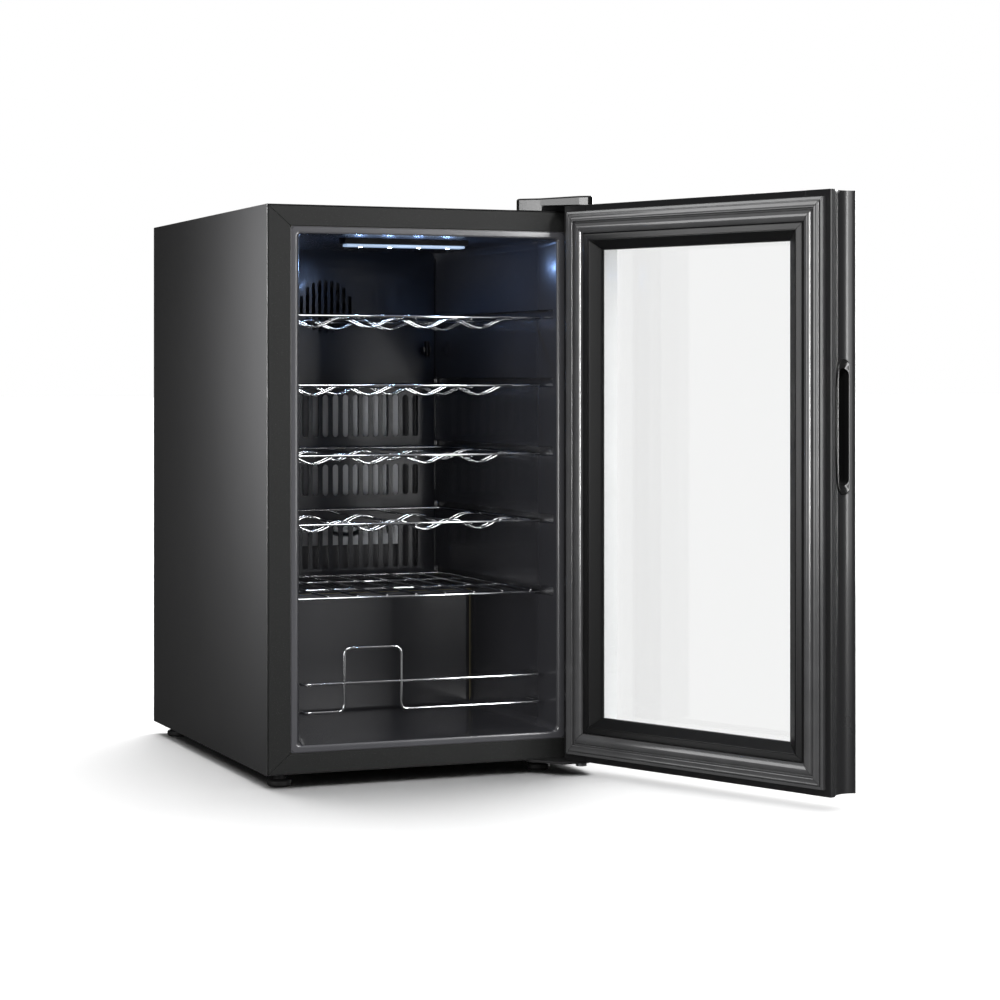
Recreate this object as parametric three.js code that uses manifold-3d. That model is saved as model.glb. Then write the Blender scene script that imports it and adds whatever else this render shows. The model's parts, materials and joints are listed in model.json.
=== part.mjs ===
// Freestanding wine cooler with a glass door, wire shelves and a rear machine compartment.
// Millimetres. +Z is up, -Y is the front, and the origin is the centre of the cabinet's underside.
// The door stands open at rest, as DOOR_OPEN says; its hinge closes it again.
import * as THREE from 'three';
import { mergeVertices } from 'three/addons/utils/BufferGeometryUtils.js';
import Module from 'manifold-3d';

const wasm = await Module();
wasm.setup();

// ---- driving dimensions -------------------------------------------------------------------

const WIDTH = 430;
const DEPTH = 550;
const HEIGHT = 704;
const FOOT_HEIGHT = 17;
const GAP = 0.3; // clearance between pieces that touch
const SHEET = 1.5; // steel sheet thickness
const PAN_LIFT = 0.8; // base pan's edge above the panel pressed into its middle

const FRONT = -DEPTH / 2;
const BACK = DEPTH / 2;
const HALF = WIDTH / 2;

// Front frame and inner tank
const BAR_SIDE = 30;
const BAR_END = 26;
const TANK_WALL = 2;
const MOUTH_HALF = 172.8;
const MOUTH_LOW = 35.5;
const MOUTH_HIGH = 671;
const TANK_HALF = 165;
const FLARE_DEPTH = 45;
const TANK_DEPTH = 480;
const HUMP_DEPTH = 279; // depth of the low compartment, in front of the machine hump
const HUMP_TOP = 200;

// Machine compartment behind the hump
const MACHINE_FRONT = FRONT + 322;
const MACHINE_TOP = 165;

// Shelves, from the top one down: height of the front wire's centre
const SHELF_HEIGHTS = [568, 480, 391, 304, 211];
const SHELF_FRONT = FRONT + 53;
const SHELF_LENGTH = 350;
const SHELF_HALF = 171.2;
const WIRE = 1.75; // radius of the thick wires
const THIN_WIRE = 1.3;
const BOTTLE_PITCH = 76.5;
const BOTTLE_ROWS = 4;
const CRADLE_DIP = 13;
const CRADLES = 4;
const GROOVE_HALF = 173;
const GROOVE_HEIGHT = 12;
const GROOVE_START = 8;
const GROOVE_LENGTH = 422;

// Door, measured from its hinge side (u), outwards from its inner face (w), and up (z)
const DOOR_WIDTH = 428;
const DOOR_LOW = 1.2;
const DOOR_HIGH = 709.9;
const DOOR_THICK = 50.7;
const DOOR_OPEN = 112.8; // degrees from closed
const HINGE_X = 197.2;
const HINGE_Y = FRONT - 22.75;
const SEAL_GAP = 0.5;
const SEAL_STAND = 5.5; // how far the seal stands out of the inner face
const RIM = 2.5; // the rigid rim lies back, so that it clears the cabinet as it turns
const STILE = 37;
const LIP = 49; // how far the frame reaches over the outer pane
const WINDOW = 64; // door's side edges to clear glass
const WINDOW_END = 58.5; // door's top and bottom edges to clear glass
const SCOOP_FROM = 10;
const SCOOP_TO = 48;
const SCOOP_DEPTH = 8;
const PIN_RADIUS = 4;
const BUSH_RADIUS = 6.5;
const BUSH_LENGTH = 15;

// Grip in the door's free edge
const GRIP_CENTRE = 432;
const GRIP_LENGTH = 160;
const GRIP_WIDTH = 26;
const GRIP_DEPTH = 24;
const GRIP_SLOT_LENGTH = 136;
const GRIP_SLOT_WIDTH = 14;

// ---- materials ----------------------------------------------------------------------------

const finish = (color, roughness, metalness = 0, opacity = 1) => new THREE.MeshStandardMaterial({
  color, roughness, metalness, opacity, transparent: opacity < 1,
});
const sidePaint = finish(0x2b2b2c, 0.45, 0.3);
const framePaint = finish(0x333334, 0.6, 0.2);
const backPaint = finish(0x1d1d1e, 0.6, 0.3);
const tankPlastic = finish(0x26262a, 0.35);
const blackPlastic = finish(0x121213, 0.45);
const doorBlack = finish(0x1a1a1b, 0.35, 0.1);
const sealRubber = finish(0x6d6d6e, 0.55);
const chrome = finish(0xd8d8dc, 0.12, 1);
const steel = finish(0x8e9094, 0.35, 0.9);
const copper = finish(0xa5673f, 0.35, 0.9);
const foam = finish(0xd9c98f, 0.9);
const clearGlass = finish(0xe8f2f0, 0.03, 0, 0.25);
const lensPlastic = finish(0xdfeaff, 0.2, 0, 0.6);
const footRubber = finish(0x0e0e0e, 0.7);

// ---- solids -------------------------------------------------------------------------------

// A closed geometry as a solid that can be joined and cut.
function solid(geometry) {
  geometry.deleteAttribute('normal');
  geometry.deleteAttribute('uv');
  const merged = mergeVertices(geometry, 1e-4);
  return new wasm.Manifold(new wasm.Mesh({
    numProp: 3,
    vertProperties: Float32Array.from(merged.attributes.position.array),
    triVerts: Uint32Array.from(merged.index.array),
  }));
}

const join = (pieces) => pieces.reduce((all, piece) => all.add(piece));
const cut = (body, pieces) => pieces.reduce((left, piece) => left.subtract(piece), body);

function box(x0, x1, y0, y1, z0, z1) {
  const shape = new THREE.BoxGeometry(x1 - x0, y1 - y0, z1 - z0);
  shape.translate((x0 + x1) / 2, (y0 + y1) / 2, (z0 + z1) / 2);
  return solid(shape);
}

// An outline in X and Y, raised from z0 to z1.
function prism(outline, z0, z1, curveSegments = 6) {
  const shape = outline instanceof THREE.Shape ? outline
    : new THREE.Shape(outline.map(([x, y]) => new THREE.Vector2(x, y)));
  const raised = new THREE.ExtrudeGeometry(shape, { depth: z1 - z0, bevelEnabled: false, curveSegments });
  raised.translate(0, 0, z0);
  return solid(raised);
}

// An outline in Y and Z, run from x0 to x1.
function beam(outline, x0, x1) {
  return prism(outline, x0, x1).rotate([90, 0, 90]);
}

// An outline in X and Z, run from y0 to y1.
function slab(outline, y0, y1, curveSegments = 6) {
  return prism(outline, -y1, -y0, curveSegments).rotate([90, 0, 0]);
}

// A round piece about Z, from [radius, height] pairs that start and end on the axis.
function turned(profile, sides, x = 0, y = 0) {
  const shape = new THREE.LatheGeometry(profile.map(([r, h]) => new THREE.Vector2(r, h)), sides);
  shape.rotateX(Math.PI / 2);
  shape.translate(x, y, 0);
  return solid(shape);
}

const rod = (radius, z0, z1, sides, x = 0, y = 0) => (
  turned([[0, z0], [radius, z0], [radius, z1], [0, z1]], sides, x, y)
);

// A ring about Z, with a hole right through.
function ring(inner, outer, z0, z1, sides, x = 0, y = 0) {
  return rod(outer, z0, z1, sides, x, y).subtract(rod(inner, z0 - 1, z1 + 1, sides, x, y));
}

// A wire of the given radius along a curve.
function wire(curve, radius, steps, sides = 6) {
  const corners = Array.from({ length: sides }, (_, i) => {
    const turn = (2 * Math.PI * i) / sides;
    return new THREE.Vector2(radius * Math.cos(turn), radius * Math.sin(turn));
  });
  const section = new THREE.Shape(corners);
  return solid(new THREE.ExtrudeGeometry(section, { extrudePath: curve, steps, bevelEnabled: false }));
}

const straight = (from, to, radius, sides = 6) => (
  wire(new THREE.LineCurve3(new THREE.Vector3(...from), new THREE.Vector3(...to)), radius, 1, sides)
);

// A route of straight stretches, sampled at its own points, so that every step ends on one.
class Route extends THREE.Curve {
  constructor(points) {
    super();
    this.points = points;
  }

  getPointAt(share, target = new THREE.Vector3()) {
    const along = share * (this.points.length - 1);
    const i = Math.min(Math.floor(along + 1e-6), this.points.length - 2);
    return target.lerpVectors(this.points[i], this.points[i + 1], along - i);
  }

  getTangentAt(share, target = new THREE.Vector3()) {
    const last = this.points.length - 1;
    const i = Math.round(share * last);
    const before = this.points[Math.max(i - 1, 0)];
    const after = this.points[Math.min(i + 1, last)];
    return target.subVectors(after, before).normalize();
  }
}

// A wire bent through the given corners with one bend radius.
function bent(corners, bend, radius, bendSteps = 4) {
  const points = corners.map((corner) => new THREE.Vector3(...corner));
  const route = [points[0]];
  for (let i = 1; i < points.length - 1; i += 1) {
    const before = points[i - 1].clone().sub(points[i]).normalize();
    const after = points[i + 1].clone().sub(points[i]).normalize();
    const arc = new THREE.QuadraticBezierCurve3(
      points[i].clone().addScaledVector(before, bend),
      points[i],
      points[i].clone().addScaledVector(after, bend),
    );
    route.push(...arc.getPoints(bendSteps));
  }
  route.push(points[points.length - 1]);
  return wire(new Route(route), radius, route.length - 1);
}

// A rectangle with rounded ends or corners, centred on (x, y).
function rounded(x, y, width, height, radius) {
  const shape = new THREE.Shape();
  const [w, h, r] = [width / 2, height / 2, radius];
  shape.moveTo(x - w + r, y - h);
  shape.lineTo(x + w - r, y - h);
  shape.absarc(x + w - r, y - h + r, r, -Math.PI / 2, 0);
  shape.lineTo(x + w, y + h - r);
  shape.absarc(x + w - r, y + h - r, r, 0, Math.PI / 2);
  shape.lineTo(x - w + r, y + h);
  shape.absarc(x - w + r, y + h - r, r, Math.PI / 2, Math.PI);
  shape.lineTo(x - w, y - h + r);
  shape.absarc(x - w + r, y - h + r, r, Math.PI, 1.5 * Math.PI);
  return shape;
}

// ---- scene graph --------------------------------------------------------------------------

const wineCooler = new THREE.Group();
const door = new THREE.Group();
door.position.set(HINGE_X, HINGE_Y, 0);
door.rotation.z = THREE.MathUtils.degToRad(DOOR_OPEN);
wineCooler.add(door);

function place(name, body, material, parent = wineCooler) {
  const mesh = body.getMesh();
  const geometry = new THREE.BufferGeometry();
  geometry.setAttribute('position', new THREE.BufferAttribute(mesh.vertProperties, 3));
  geometry.setIndex(new THREE.BufferAttribute(mesh.triVerts, 1));
  geometry.computeVertexNormals();
  const node = new THREE.Mesh(geometry, material);
  node.name = name;
  parent.add(node);
}

// ---- cabinet shell ------------------------------------------------------------------------

const PRESSED_HALF = 120;
const BACK_RIB = 2;

function cabinetShell() {
  place('left_side_panel', box(-HALF, -HALF + SHEET, FRONT, BACK, 0, HEIGHT), sidePaint);
  place('right_side_panel', box(HALF - SHEET, HALF, FRONT, BACK, 0, HEIGHT), sidePaint);
  const inner = HALF - SHEET - GAP;
  place('top_panel', box(-inner, inner, FRONT, BACK, HEIGHT - SHEET, HEIGHT), sidePaint);
  const pan = box(-inner, inner, FRONT, MACHINE_FRONT, PAN_LIFT, SHEET);
  const pressed = box(-PRESSED_HALF, PRESSED_HALF, FRONT + 30, MACHINE_FRONT - 12, 0, SHEET);
  place('base_pan', join([pan, pressed]), backPaint);

  const back = box(-inner, inner, BACK - SHEET, BACK, MACHINE_TOP + GAP, HEIGHT - SHEET - GAP);
  const ribs = [-120, 0, 120].map((x) => (
    box(x - 12, x + 12, BACK - SHEET - BACK_RIB, BACK - SHEET + 0.5, 220, 650)
  ));
  place('back_panel', join([back, ...ribs]), backPaint);
}

// Four flat bars, mitred at the corners, with one gap's width between them.
function frontFrame() {
  const out = HALF - SHEET - GAP;
  const low = SHEET + GAP;
  const high = HEIGHT - SHEET - GAP;
  const inX = HALF - BAR_SIDE;
  const inLow = BAR_END;
  const inHigh = HEIGHT - BAR_END;
  const bars = {
    front_frame_left: [[-out, low + GAP], [-inX, inLow + GAP], [-inX, inHigh - GAP], [-out, high - GAP]],
    front_frame_right: [[out, low + GAP], [out, high - GAP], [inX, inHigh - GAP], [inX, inLow + GAP]],
    front_frame_top: [[-out, high], [-inX, inHigh], [inX, inHigh], [out, high]],
    front_frame_bottom: [[-out, low], [out, low], [inX, inLow], [-inX, inLow]],
  };
  Object.entries(bars).forEach(([name, outline]) => {
    place(name, slab(outline, FRONT, FRONT + SHEET), framePaint);
  });
}

// The hollow of the tank, grown by some thickness all round behind the mouth.
function tankHollow(grow, mouth = FRONT) {
  const end = FRONT + FLARE_DEPTH;
  const flare = prism([
    [-MOUTH_HALF - grow, mouth], [MOUTH_HALF + grow, mouth],
    [TANK_HALF + grow, end], [-TANK_HALF - grow, end],
  ], MOUTH_LOW - grow, MOUTH_HIGH + grow);
  const upper = box(
    -TANK_HALF - grow, TANK_HALF + grow, end - 1, FRONT + TANK_DEPTH + grow,
    HUMP_TOP - grow, MOUTH_HIGH + grow,
  );
  const low = box(
    -TANK_HALF - grow, TANK_HALF + grow, end - 1, FRONT + HUMP_DEPTH + grow,
    MOUTH_LOW - grow, HUMP_TOP + 1,
  );
  const grooves = SHELF_HEIGHTS.map((z) => box(
    -GROOVE_HALF - grow, GROOVE_HALF + grow,
    FRONT + GROOVE_START - grow, FRONT + GROOVE_START + GROOVE_LENGTH + grow,
    z - WIRE - GAP - grow, z - WIRE - GAP + GROOVE_HEIGHT + grow,
  ));
  return join([flare, upper, low, ...grooves]);
}

function innerTank() {
  const flange = box(
    -HALF + BAR_SIDE + GAP, HALF - BAR_SIDE - GAP, FRONT, FRONT + TANK_WALL,
    BAR_END + GAP, HEIGHT - BAR_END - GAP,
  );
  const shell = join([tankHollow(TANK_WALL), flange]);
  place('inner_tank', shell.subtract(tankHollow(0, FRONT - 1)), tankPlastic);

  const edge = HALF - SHEET - GAP;
  const block = box(
    -edge, edge, FRONT + TANK_WALL + GAP, BACK - SHEET - BACK_RIB - GAP,
    SHEET + GAP, HEIGHT - SHEET - GAP,
  );
  const machineBay = box(-HALF, HALF, MACHINE_FRONT - GAP, BACK + 1, -1, MACHINE_TOP + GAP);
  place('insulation_foam', cut(block, [tankHollow(TANK_WALL + GAP), machineBay]), foam);
}

// ---- inside the tank ----------------------------------------------------------------------

const DUCT_FRONT = FRONT + 420;
const DUCT_SHEET = 2.5;
const DUCT_ROOF_DEPTH = 56;
const SLOT_WIDTH = 9;
const SLOT_HEIGHT = 52;
const SLOT_PITCH = 18;
const SLOTS_EACH_SIDE = 6;
const SLOT_ROWS = [436, 250];
const FAN_HEIGHT = 590;
const FAN_HOLE = 69;
const FAN_BARS = [-24, -8, 8, 24];

function airDuct() {
  const half = TANK_HALF - 1;
  const top = MOUTH_HIGH - 1;
  const cover = join([
    box(-half, half, DUCT_FRONT, DUCT_FRONT + DUCT_SHEET, HUMP_TOP + 6, top),
    box(-half, half, DUCT_FRONT, DUCT_FRONT + DUCT_ROOF_DEPTH, top - DUCT_SHEET, top),
  ]);
  const slots = [];
  SLOT_ROWS.forEach((z) => {
    for (let i = -SLOTS_EACH_SIDE; i <= SLOTS_EACH_SIDE; i += 1) {
      const outline = rounded(i * SLOT_PITCH, z, SLOT_WIDTH, SLOT_HEIGHT, SLOT_WIDTH / 2 - 0.2);
      slots.push(slab(outline, DUCT_FRONT - 1, DUCT_FRONT + 4, 1));
    }
  });
  const opening = rounded(0, FAN_HEIGHT, FAN_HOLE, FAN_HOLE, FAN_HOLE / 2 - 0.1);
  const fanHole = slab(opening, DUCT_FRONT - 1, DUCT_FRONT + 4);
  const reach = FAN_HOLE / 2 + 2.5;
  const bars = FAN_BARS.map((x) => (
    box(x - 1.5, x + 1.5, DUCT_FRONT, DUCT_FRONT + DUCT_SHEET, FAN_HEIGHT - reach, FAN_HEIGHT + reach)
  ));
  place('duct_cover', join([cut(cover, [...slots, fanHole]), ...bars]), tankPlastic);
}

// The cold plate behind the duct cover, with its refrigerant channel.
function evaporator() {
  const plate = box(-125, 125, DUCT_FRONT + 44, DUCT_FRONT + 46, 250, 520);
  const channel = bent([
    [-110, 0, 265], [-110, 0, 505], [-66, 0, 505], [-66, 0, 265], [-22, 0, 265], [-22, 0, 505],
    [22, 0, 505], [22, 0, 265], [66, 0, 265], [66, 0, 505], [110, 0, 505], [110, 0, 265],
  ], 12, 3.5, 2).translate([0, DUCT_FRONT + 44, 0]);
  place('evaporator_plate', join([plate, channel]), steel);
}

// A fan about its own axis, turned to face along the given direction.
function fanWheel(name, radius, thickness, blades, turn, at) {
  const hub = rod(radius * 0.36, 0, thickness, 16);
  const blade = box(radius * 0.3, radius, -thickness * 0.6, thickness * 0.6, -0.7, 0.7)
    .rotate([38, 0, 0]).translate([0, 0, thickness / 2]);
  const wheel = Array.from({ length: blades }, (_, i) => blade.rotate([0, 0, (360 * i) / blades]));
  place(name, join([hub, ...wheel]).rotate(turn).translate(at), blackPlastic);
}

function circulationFan() {
  fanWheel('circulation_fan', 32, 12, 7, [-90, 0, 0], [0, DUCT_FRONT + 8, FAN_HEIGHT]);
  const motor = rod(17, 0, 30, 16).rotate([-90, 0, 0]).translate([0, DUCT_FRONT + 23, FAN_HEIGHT]);
  const arms = [0, 90].map((turn) => (
    box(-44, 44, -4, 4, 24, 30).rotate([0, 0, turn]).rotate([-90, 0, 0])
      .translate([0, DUCT_FRONT + 23, FAN_HEIGHT])
  ));
  place('fan_motor', join([motor, ...arms]), blackPlastic);
}

const LAMP_HALF = 85;
const LAMP_FRONT = FRONT + 84;
const LAMP_BACK = FRONT + 112;
const LAMP_HEIGHT = 9;
const LENS_THICK = 3.2;
const LEDS = [-60, -20, 20, 60];

function lamp() {
  const top = MOUTH_HIGH - GAP;
  const low = top - LAMP_HEIGHT;
  const middle = (LAMP_FRONT + LAMP_BACK) / 2;
  const outline = [[LAMP_FRONT, top], [LAMP_FRONT + 4, low], [LAMP_BACK - 4, low], [LAMP_BACK, top]];
  const leds = LEDS.map((x) => rod(3, low - 3, top - 2, 8, x, middle));
  place('lamp_housing', cut(beam(outline, -LAMP_HALF, LAMP_HALF), leds), blackPlastic);
  const lens = box(
    -LAMP_HALF + 4, LAMP_HALF - 4, LAMP_FRONT + 5, LAMP_BACK - 5,
    low - GAP - LENS_THICK, low - GAP,
  );
  place('lamp_lens', lens, lensPlastic);
}

const SENSOR_X = 148;
const SENSOR_HEIGHT = 520;

function sensor() {
  const tip = rod(4, 0, 22, 10, SENSOR_X, DUCT_FRONT - 12).translate([0, 0, SENSOR_HEIGHT]);
  const clip = box(
    SENSOR_X - 6, SENSOR_X + 6, DUCT_FRONT - 14, DUCT_FRONT - GAP,
    SENSOR_HEIGHT + 6, SENSOR_HEIGHT + 14,
  );
  place('temperature_sensor', join([tip, clip]), blackPlastic);
}

// ---- shelves and bottle guard -------------------------------------------------------------

const BAR_PITCH = 39.7; // of the flat shelf's bars
const BARS_EACH_SIDE = 4;
const CROSS_BARS = [0.36, 0.7]; // as shares of the shelf's length

// A wire that waves down into one cradle for each bottle.
class CradleCurve extends THREE.Curve {
  constructor(y, z, span) {
    super();
    Object.assign(this, { y, z, span });
  }

  getPoint(t, target = new THREE.Vector3()) {
    const x = this.span * (2 * t - 1);
    const wave = 0.5 - 0.5 * Math.cos(2 * Math.PI * (x / BOTTLE_PITCH - BOTTLE_ROWS / 2));
    return target.set(x, this.y, this.z - CRADLE_DIP * wave);
  }
}

function shelfFrame(z) {
  const back = SHELF_FRONT + SHELF_LENGTH;
  const side = SHELF_HALF - WIRE;
  return [
    straight([-SHELF_HALF, SHELF_FRONT, z], [SHELF_HALF, SHELF_FRONT, z], WIRE),
    straight([-SHELF_HALF, back, z], [SHELF_HALF, back, z], WIRE),
    straight([-side, SHELF_FRONT, z], [-side, back, z], WIRE),
    straight([side, SHELF_FRONT, z], [side, back, z], WIRE),
  ];
}

function cradleShelf(z) {
  const span = BOTTLE_PITCH * BOTTLE_ROWS * 0.5;
  const pitch = SHELF_LENGTH / (CRADLES + 1);
  const waves = [];
  for (let i = 1; i <= CRADLES; i += 1) {
    const y = SHELF_FRONT + i * pitch;
    waves.push(wire(new CradleCurve(y, z, span), THIN_WIRE, 20, 4));
    waves.push(straight([-SHELF_HALF + 1, y, z], [-span + 1, y, z], THIN_WIRE, 4));
    waves.push(straight([span - 1, y, z], [SHELF_HALF - 1, y, z], THIN_WIRE, 4));
  }
  return join([...shelfFrame(z), ...waves]);
}

function flatShelf(z) {
  const back = SHELF_FRONT + SHELF_LENGTH;
  const wires = [];
  for (let i = -BARS_EACH_SIDE; i <= BARS_EACH_SIDE; i += 1) {
    const x = i * BAR_PITCH;
    wires.push(straight([x, SHELF_FRONT, z + WIRE], [x, back, z + WIRE], THIN_WIRE));
  }
  CROSS_BARS.forEach((share) => {
    const y = SHELF_FRONT + share * SHELF_LENGTH;
    wires.push(straight([-SHELF_HALF + 1, y, z], [SHELF_HALF - 1, y, z], WIRE));
  });
  return join([...shelfFrame(z), ...wires]);
}

function shelves() {
  SHELF_HEIGHTS.forEach((z, i) => {
    const shelf = i < SHELF_HEIGHTS.length - 1 ? cradleShelf(z) : flatShelf(z);
    place(`shelf_${i + 1}`, shelf, chrome);
  });
}

const GUARD_HALF = 160;
const GUARD_Y = FRONT + 24;
const GUARD_RETURN = 45;
const GUARD_HIGH = 107;
const GUARD_LOW = 72;
const HOOP_LEFT = -107.5;
const HOOP_RIGHT = -31.8;
const HOOP_TOP = 151;
const GUARD_BEND = 9;

function bottleGuard() {
  const end = GUARD_Y + GUARD_RETURN;
  const upper = bent([
    [-GUARD_HALF, end, GUARD_HIGH], [-GUARD_HALF, GUARD_Y, GUARD_HIGH],
    [GUARD_HALF, GUARD_Y, GUARD_HIGH], [GUARD_HALF, end, GUARD_HIGH],
  ], GUARD_BEND, WIRE);
  const lower = bent([
    [-GUARD_HALF, end, GUARD_LOW], [-GUARD_HALF, GUARD_Y, GUARD_LOW],
    [HOOP_LEFT, GUARD_Y, GUARD_LOW], [HOOP_LEFT, GUARD_Y, HOOP_TOP],
    [HOOP_RIGHT, GUARD_Y, HOOP_TOP], [HOOP_RIGHT, GUARD_Y, GUARD_LOW],
    [GUARD_HALF, GUARD_Y, GUARD_LOW], [GUARD_HALF, end, GUARD_LOW],
  ], GUARD_BEND, WIRE).translate([0, -2, 0]);
  place('bottle_guard', join([upper, lower]), chrome);
}

// ---- machine compartment ------------------------------------------------------------------

const COMPRESSOR_Y = FRONT + 432;
const PLATE_TOP = 2;
const SHELL_LOW = 14; // underside of the compressor's own feet
const MOUNT_X = 62;
const MOUNT_Y = 40;
const MOUNT_SPOTS = [[-1, -1], [-1, 1], [1, -1], [1, 1]].map(([a, b]) => (
  [a * MOUNT_X, COMPRESSOR_Y + b * MOUNT_Y]
));

function compressor() {
  const edge = HALF - SHEET - GAP;
  const plate = join([
    box(-edge, edge, MACHINE_FRONT + GAP, BACK - 1, 0, PLATE_TOP),
    box(-edge, edge, BACK - 3, BACK - 1, 1, SHELL_LOW),
  ]);
  place('compressor_plate', plate, steel);

  const shell = turned([
    [0, SHELL_LOW], [44, SHELL_LOW], [56, 22], [60, 34], [60, 70], [64, 72], [64, 77], [60, 79],
    [58, 104], [48, 122], [28, 131], [0, 133],
  ], 18, 0, COMPRESSOR_Y);
  const legTop = SHELL_LOW + 3;
  const legs = MOUNT_SPOTS.map(([x, y]) => box(x - 12, x + 12, y - 10, y + 10, SHELL_LOW, legTop));
  const strap = box(-MOUNT_X, MOUNT_X, COMPRESSOR_Y - 46, COMPRESSOR_Y + 46, SHELL_LOW, legTop);
  place('compressor', join([shell, strap, ...legs]), blackPlastic);
  MOUNT_SPOTS.forEach(([x, y], i) => {
    const mount = ring(3, 8, PLATE_TOP + GAP, SHELL_LOW - GAP, 12, x, y);
    place(`compressor_mount_${i + 1}`, mount, footRubber);
  });
}

// An open tray over the compressor's warm shell, for the defrost water.
function drainTray() {
  const pan = box(-52, 52, COMPRESSOR_Y - 40, COMPRESSOR_Y + 44, 136, 156);
  const hollow = box(-50, 50, COMPRESSOR_Y - 38, COMPRESSOR_Y + 42, 138, 158);
  place('drain_tray', pan.subtract(hollow), blackPlastic);
}

function controlBox() {
  const boxBack = COMPRESSOR_Y + 70;
  place('control_box', box(104, 196, COMPRESSOR_Y - 20, boxBack, PLATE_TOP + GAP, 96), blackPlastic);
  const body = slab(rounded(0, 0, 30, 24, 3), 0, 8, 1);
  const socket = slab(rounded(0, 0, 24, 17, 3), 2, 9, 1);
  place('power_inlet', body.subtract(socket).translate([150, boxBack + GAP, 56]), blackPlastic);
}

const COIL_X = -185;
const COIL_TOP = 140;
const COIL_PITCH = 22;
const COIL_PASSES = 6;

function condenserCoil() {
  const near = MACHINE_FRONT + 30;
  const far = BACK - 40;
  const passes = Array.from({ length: COIL_PASSES }, (_, i) => {
    const z = COIL_TOP - i * COIL_PITCH;
    const ends = [[COIL_X, near, z], [COIL_X, far, z]];
    return i % 2 ? ends.reverse() : ends;
  });
  place('condenser_coil', bent(passes.flat(), 10, 3, 3), copper);
}

const CONDENSER_FAN = [-152, COMPRESSOR_Y, 78];
const SHROUD = 116;
const SHROUD_DEPTH = 20;

function condenserFan() {
  const [x, y, z] = CONDENSER_FAN;
  const facing = [0, 90, 0];
  fanWheel('condenser_fan', 47, 12, 7, facing, [x + 1, y, z]);
  const outline = rounded(0, 0, SHROUD, SHROUD, 8);
  const shroud = prism(outline, 0, SHROUD_DEPTH, 2).subtract(rod(50.8, -1, SHROUD_DEPTH + 1, 24));
  const strut = box(-54, 54, -4, 4, SHROUD_DEPTH - 3, SHROUD_DEPTH);
  const motor = rod(15, SHROUD_DEPTH - 3, SHROUD_DEPTH + 7, 16);
  const housing = join([shroud, strut, motor]);
  place('condenser_fan_frame', housing.rotate(facing).translate([x, y, z]), blackPlastic);
}

// ---- feet ---------------------------------------------------------------------------------

const FOOT_RIGHT_X = 162;
const FOOT_RIGHT_Y = FRONT + 36;
const FOOT_STEM = 8;

function feet() {
  const spots = {
    foot_front_left: [-190, FRONT + 30],
    foot_front_right: [FOOT_RIGHT_X, FOOT_RIGHT_Y],
    foot_rear_left: [-190, BACK - 40],
    foot_rear_right: [190, BACK - 40],
  };
  Object.entries(spots).forEach(([name, [x, y]]) => {
    const top = (y < MACHINE_FRONT ? PAN_LIFT : 0) - GAP;
    const profile = [
      [0, -FOOT_HEIGHT], [13, -FOOT_HEIGHT], [15, -FOOT_HEIGHT + 2],
      [15, -9], [FOOT_STEM, -7], [FOOT_STEM, top], [0, top],
    ];
    place(name, turned(profile, 12, x, y), footRubber);
  });
}

// ---- hinges -------------------------------------------------------------------------------

const BRACKET = 3;
const BRACKET_LEFT = 146;
const BRACKET_RIGHT = 211;
const UPPER_ARM = DOOR_HIGH + 1.6;
const LOWER_BRACKET_LEFT = 132;
const LOWER_BRACKET_BACK = FRONT + 62;
const LOWER_BRACKET_TOP = PAN_LIFT - GAP;
const PIN_REACH = 14; // how far each pin goes into the door
const PIN_HEAD = 7;
const COVER_LEFT = 113;
const COVER_TOP = 722;
const COVER_CORNER = 22;

// The hinge cover's outline, drawn in by some inset.
function coverPlan(inset) {
  const shape = new THREE.Shape();
  const left = COVER_LEFT + inset;
  const right = HALF - 2 - inset;
  const front = FRONT - 34 + inset;
  const back = FRONT + 32 - inset;
  const corner = COVER_CORNER - inset;
  shape.moveTo(left, back);
  shape.lineTo(left, FRONT + 4 + inset * 0.4);
  shape.lineTo(158 + inset * 0.4, front);
  shape.lineTo(right - corner, front);
  shape.absarc(right - corner, front + corner, corner, -Math.PI / 2, 0);
  shape.lineTo(right, back);
  return shape;
}

function upperHinge() {
  const top = HEIGHT + GAP;
  const side = [
    [FRONT + 26, top], [FRONT + 26, top + BRACKET], [FRONT + 6, top + BRACKET],
    [FRONT + 2, UPPER_ARM + BRACKET], [HINGE_Y - 11, UPPER_ARM + BRACKET],
    [HINGE_Y - 11, UPPER_ARM], [FRONT - 1, UPPER_ARM], [FRONT + 3, top],
  ];
  const strap = beam(side, BRACKET_LEFT, BRACKET_RIGHT);
  const inCover = strap.intersect(prism(coverPlan(1.6), top, COVER_TOP));
  const upperHole = rod(PIN_RADIUS + GAP, UPPER_ARM - 1, UPPER_ARM + 5, 16, HINGE_X, HINGE_Y);
  place('upper_hinge_bracket', inCover.subtract(upperHole), steel);
  const headLow = UPPER_ARM + BRACKET + GAP;
  const upperPin = turned([
    [0, DOOR_HIGH - PIN_REACH], [PIN_RADIUS, DOOR_HIGH - PIN_REACH], [PIN_RADIUS, headLow],
    [PIN_HEAD, headLow], [PIN_HEAD, headLow + 2.2], [0, headLow + 2.2],
  ], 16, HINGE_X, HINGE_Y);
  place('upper_hinge_pin', upperPin, steel);

  const skirtGap = box(0, WIDTH, FRONT - 100, FRONT + 1, top - 1, DOOR_HIGH + 1);
  const hollow = prism(coverPlan(1.2), top - 1, COVER_TOP - 1.4);
  place('hinge_cover', cut(prism(coverPlan(0), top, COVER_TOP), [hollow, skirtGap]), blackPlastic);
}

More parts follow.
